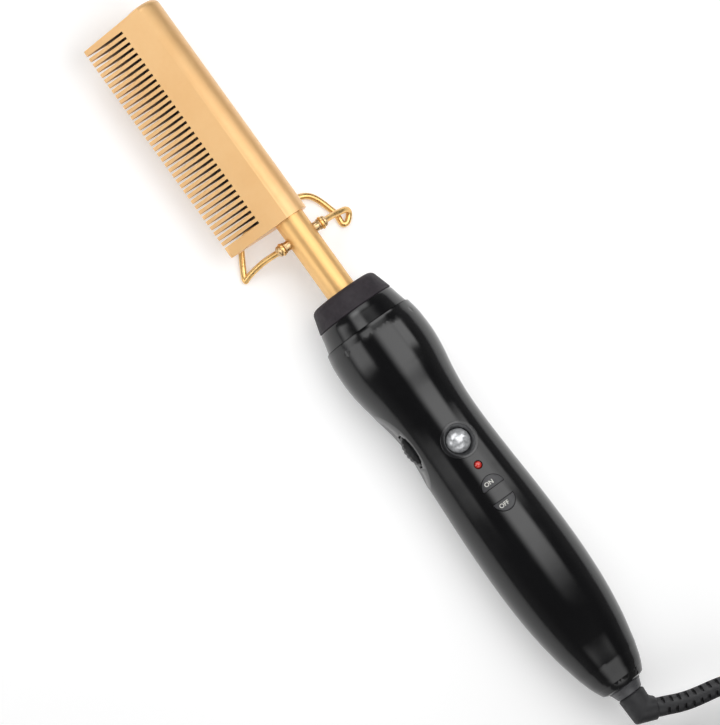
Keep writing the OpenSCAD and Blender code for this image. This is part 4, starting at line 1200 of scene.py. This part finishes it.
# ---- Swivel socket ----
# Grey semi-gloss acetal gland that turns in the tail of the shells.
# It is turned with a rounded lip outside and a flange inside that keeps it in.
tail_x = front_x - 157.4
socket_r = 6.2
socket_grey = (
    Finish("socket_grey", (0.07, 0.07, 0.075), 0.32)
    .mottle(2 * mm, (0.09, 0.09, 0.095))
    .worn(1 * mm, 0.26, 0.4)
    .bumps(0.3 * mm, 0.01 * mm)
)
bore_r = 3.1
socket = turned(
    "gland",
    [
        (tail_x - 4.22, bore_r), (tail_x - 4.22, socket_r - 1.4), (tail_x - 1.62, socket_r - 0.4),
        (tail_x - 1.12, socket_r), (tail_x - 0.62, socket_r), (tail_x - 0.62, 5), (tail_x + 3.6, 5),
        (tail_x + 3.6, 6.6), (tail_x + 5.4, 6.6), (tail_x + 5.4, 5), (tail_x + 13, 5), (tail_x + 13, bore_r),
    ],
    on_axis, "X", 96, 30,
)
dress(soften(socket, 0.12 * mm), socket_grey, "handle", ["swivel_socket"])


# ---- Swivel elbow ----
# Rubber-covered elbow that turns in the socket on a hollow shaft with two slip rings.
# It bends the cord aside by 64 degrees and carries the strain relief.
elbow_x = tail_x - 0.62 - 3.6 - 0.3
elbow_r = 5.0
elbow_out_r = 3.95
bm = bmesh.new()
rings = ring_tube(bm, [(0, 1), (1, 1), (2, 1), (3, 1), (4, 1)], 48)
back = Vector((-1, 0, 0))
fold = (back + knee_dir).normalized()
places = [
    # middle of the ring, its heading, or None where the legs meet, and its radius
    (Vector((elbow_x * mm, 0, axis_h)), back, elbow_r - 0.5),
    (Vector(((elbow_x - 0.5) * mm, 0, axis_h)), back, elbow_r),
    (knee, None, 4.75),
    (boot_from - 0.4 * mm * knee_dir, knee_dir, elbow_out_r + 0.2),
    (boot_from, knee_dir, elbow_out_r - 0.2),
]
for ring, (at, heading, r) in zip(rings, places):
    for v in ring:
        a = math.atan2(v.co.z, v.co.y)
        out = Vector((0, math.cos(a), math.sin(a)))
        if heading is None:
            v.co = at + r * mm * (out - out.dot(fold) / back.dot(fold) * back)
        else:
            across = Vector((heading.y, -heading.x, 0)) if heading is knee_dir else Vector((0, 1, 0))
            v.co = at + r * mm * (out.y * across + out.z * Vector((0, 0, 1)))
bmesh.ops.recalc_face_normals(bm, faces=bm.faces)
corner = [e for e in bm.edges if all(v in rings[2] for v in e.verts)]
bmesh.ops.bevel(
    bm, geom=corner, offset=0.7 * mm, offset_type="OFFSET", affect="EDGES", segments=4, profile=0.5,
    material=-1, clamp_overlap=True,
)
elbow_skin = new_piece("elbow_skin", bm, 30)
shaft = turned(
    "shaft",
    [
        (elbow_x - 1, 0), (elbow_x - 1, 3.8), (elbow_x + 0.9, 3.8), (elbow_x + 0.9, 3),
        (tail_x + 22, 3), (tail_x + 22, 0),
    ],
    on_axis, "X", 64,
)
elbow = joined("elbow", [elbow_skin, shaft], 34)
dress(elbow, rubber_black, "cord_swivel", ["swivel_elbow"])
inner_finishes |= {"slip_rings": contact_brass, "contact_springs": contact_brass}


# ---- Inner pieces ----
# What lies inside keeps its built shape and takes the finishes named above.
for node, finish in inner_finishes.items():
    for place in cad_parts[node].material_slots:
        place.material = finish.material
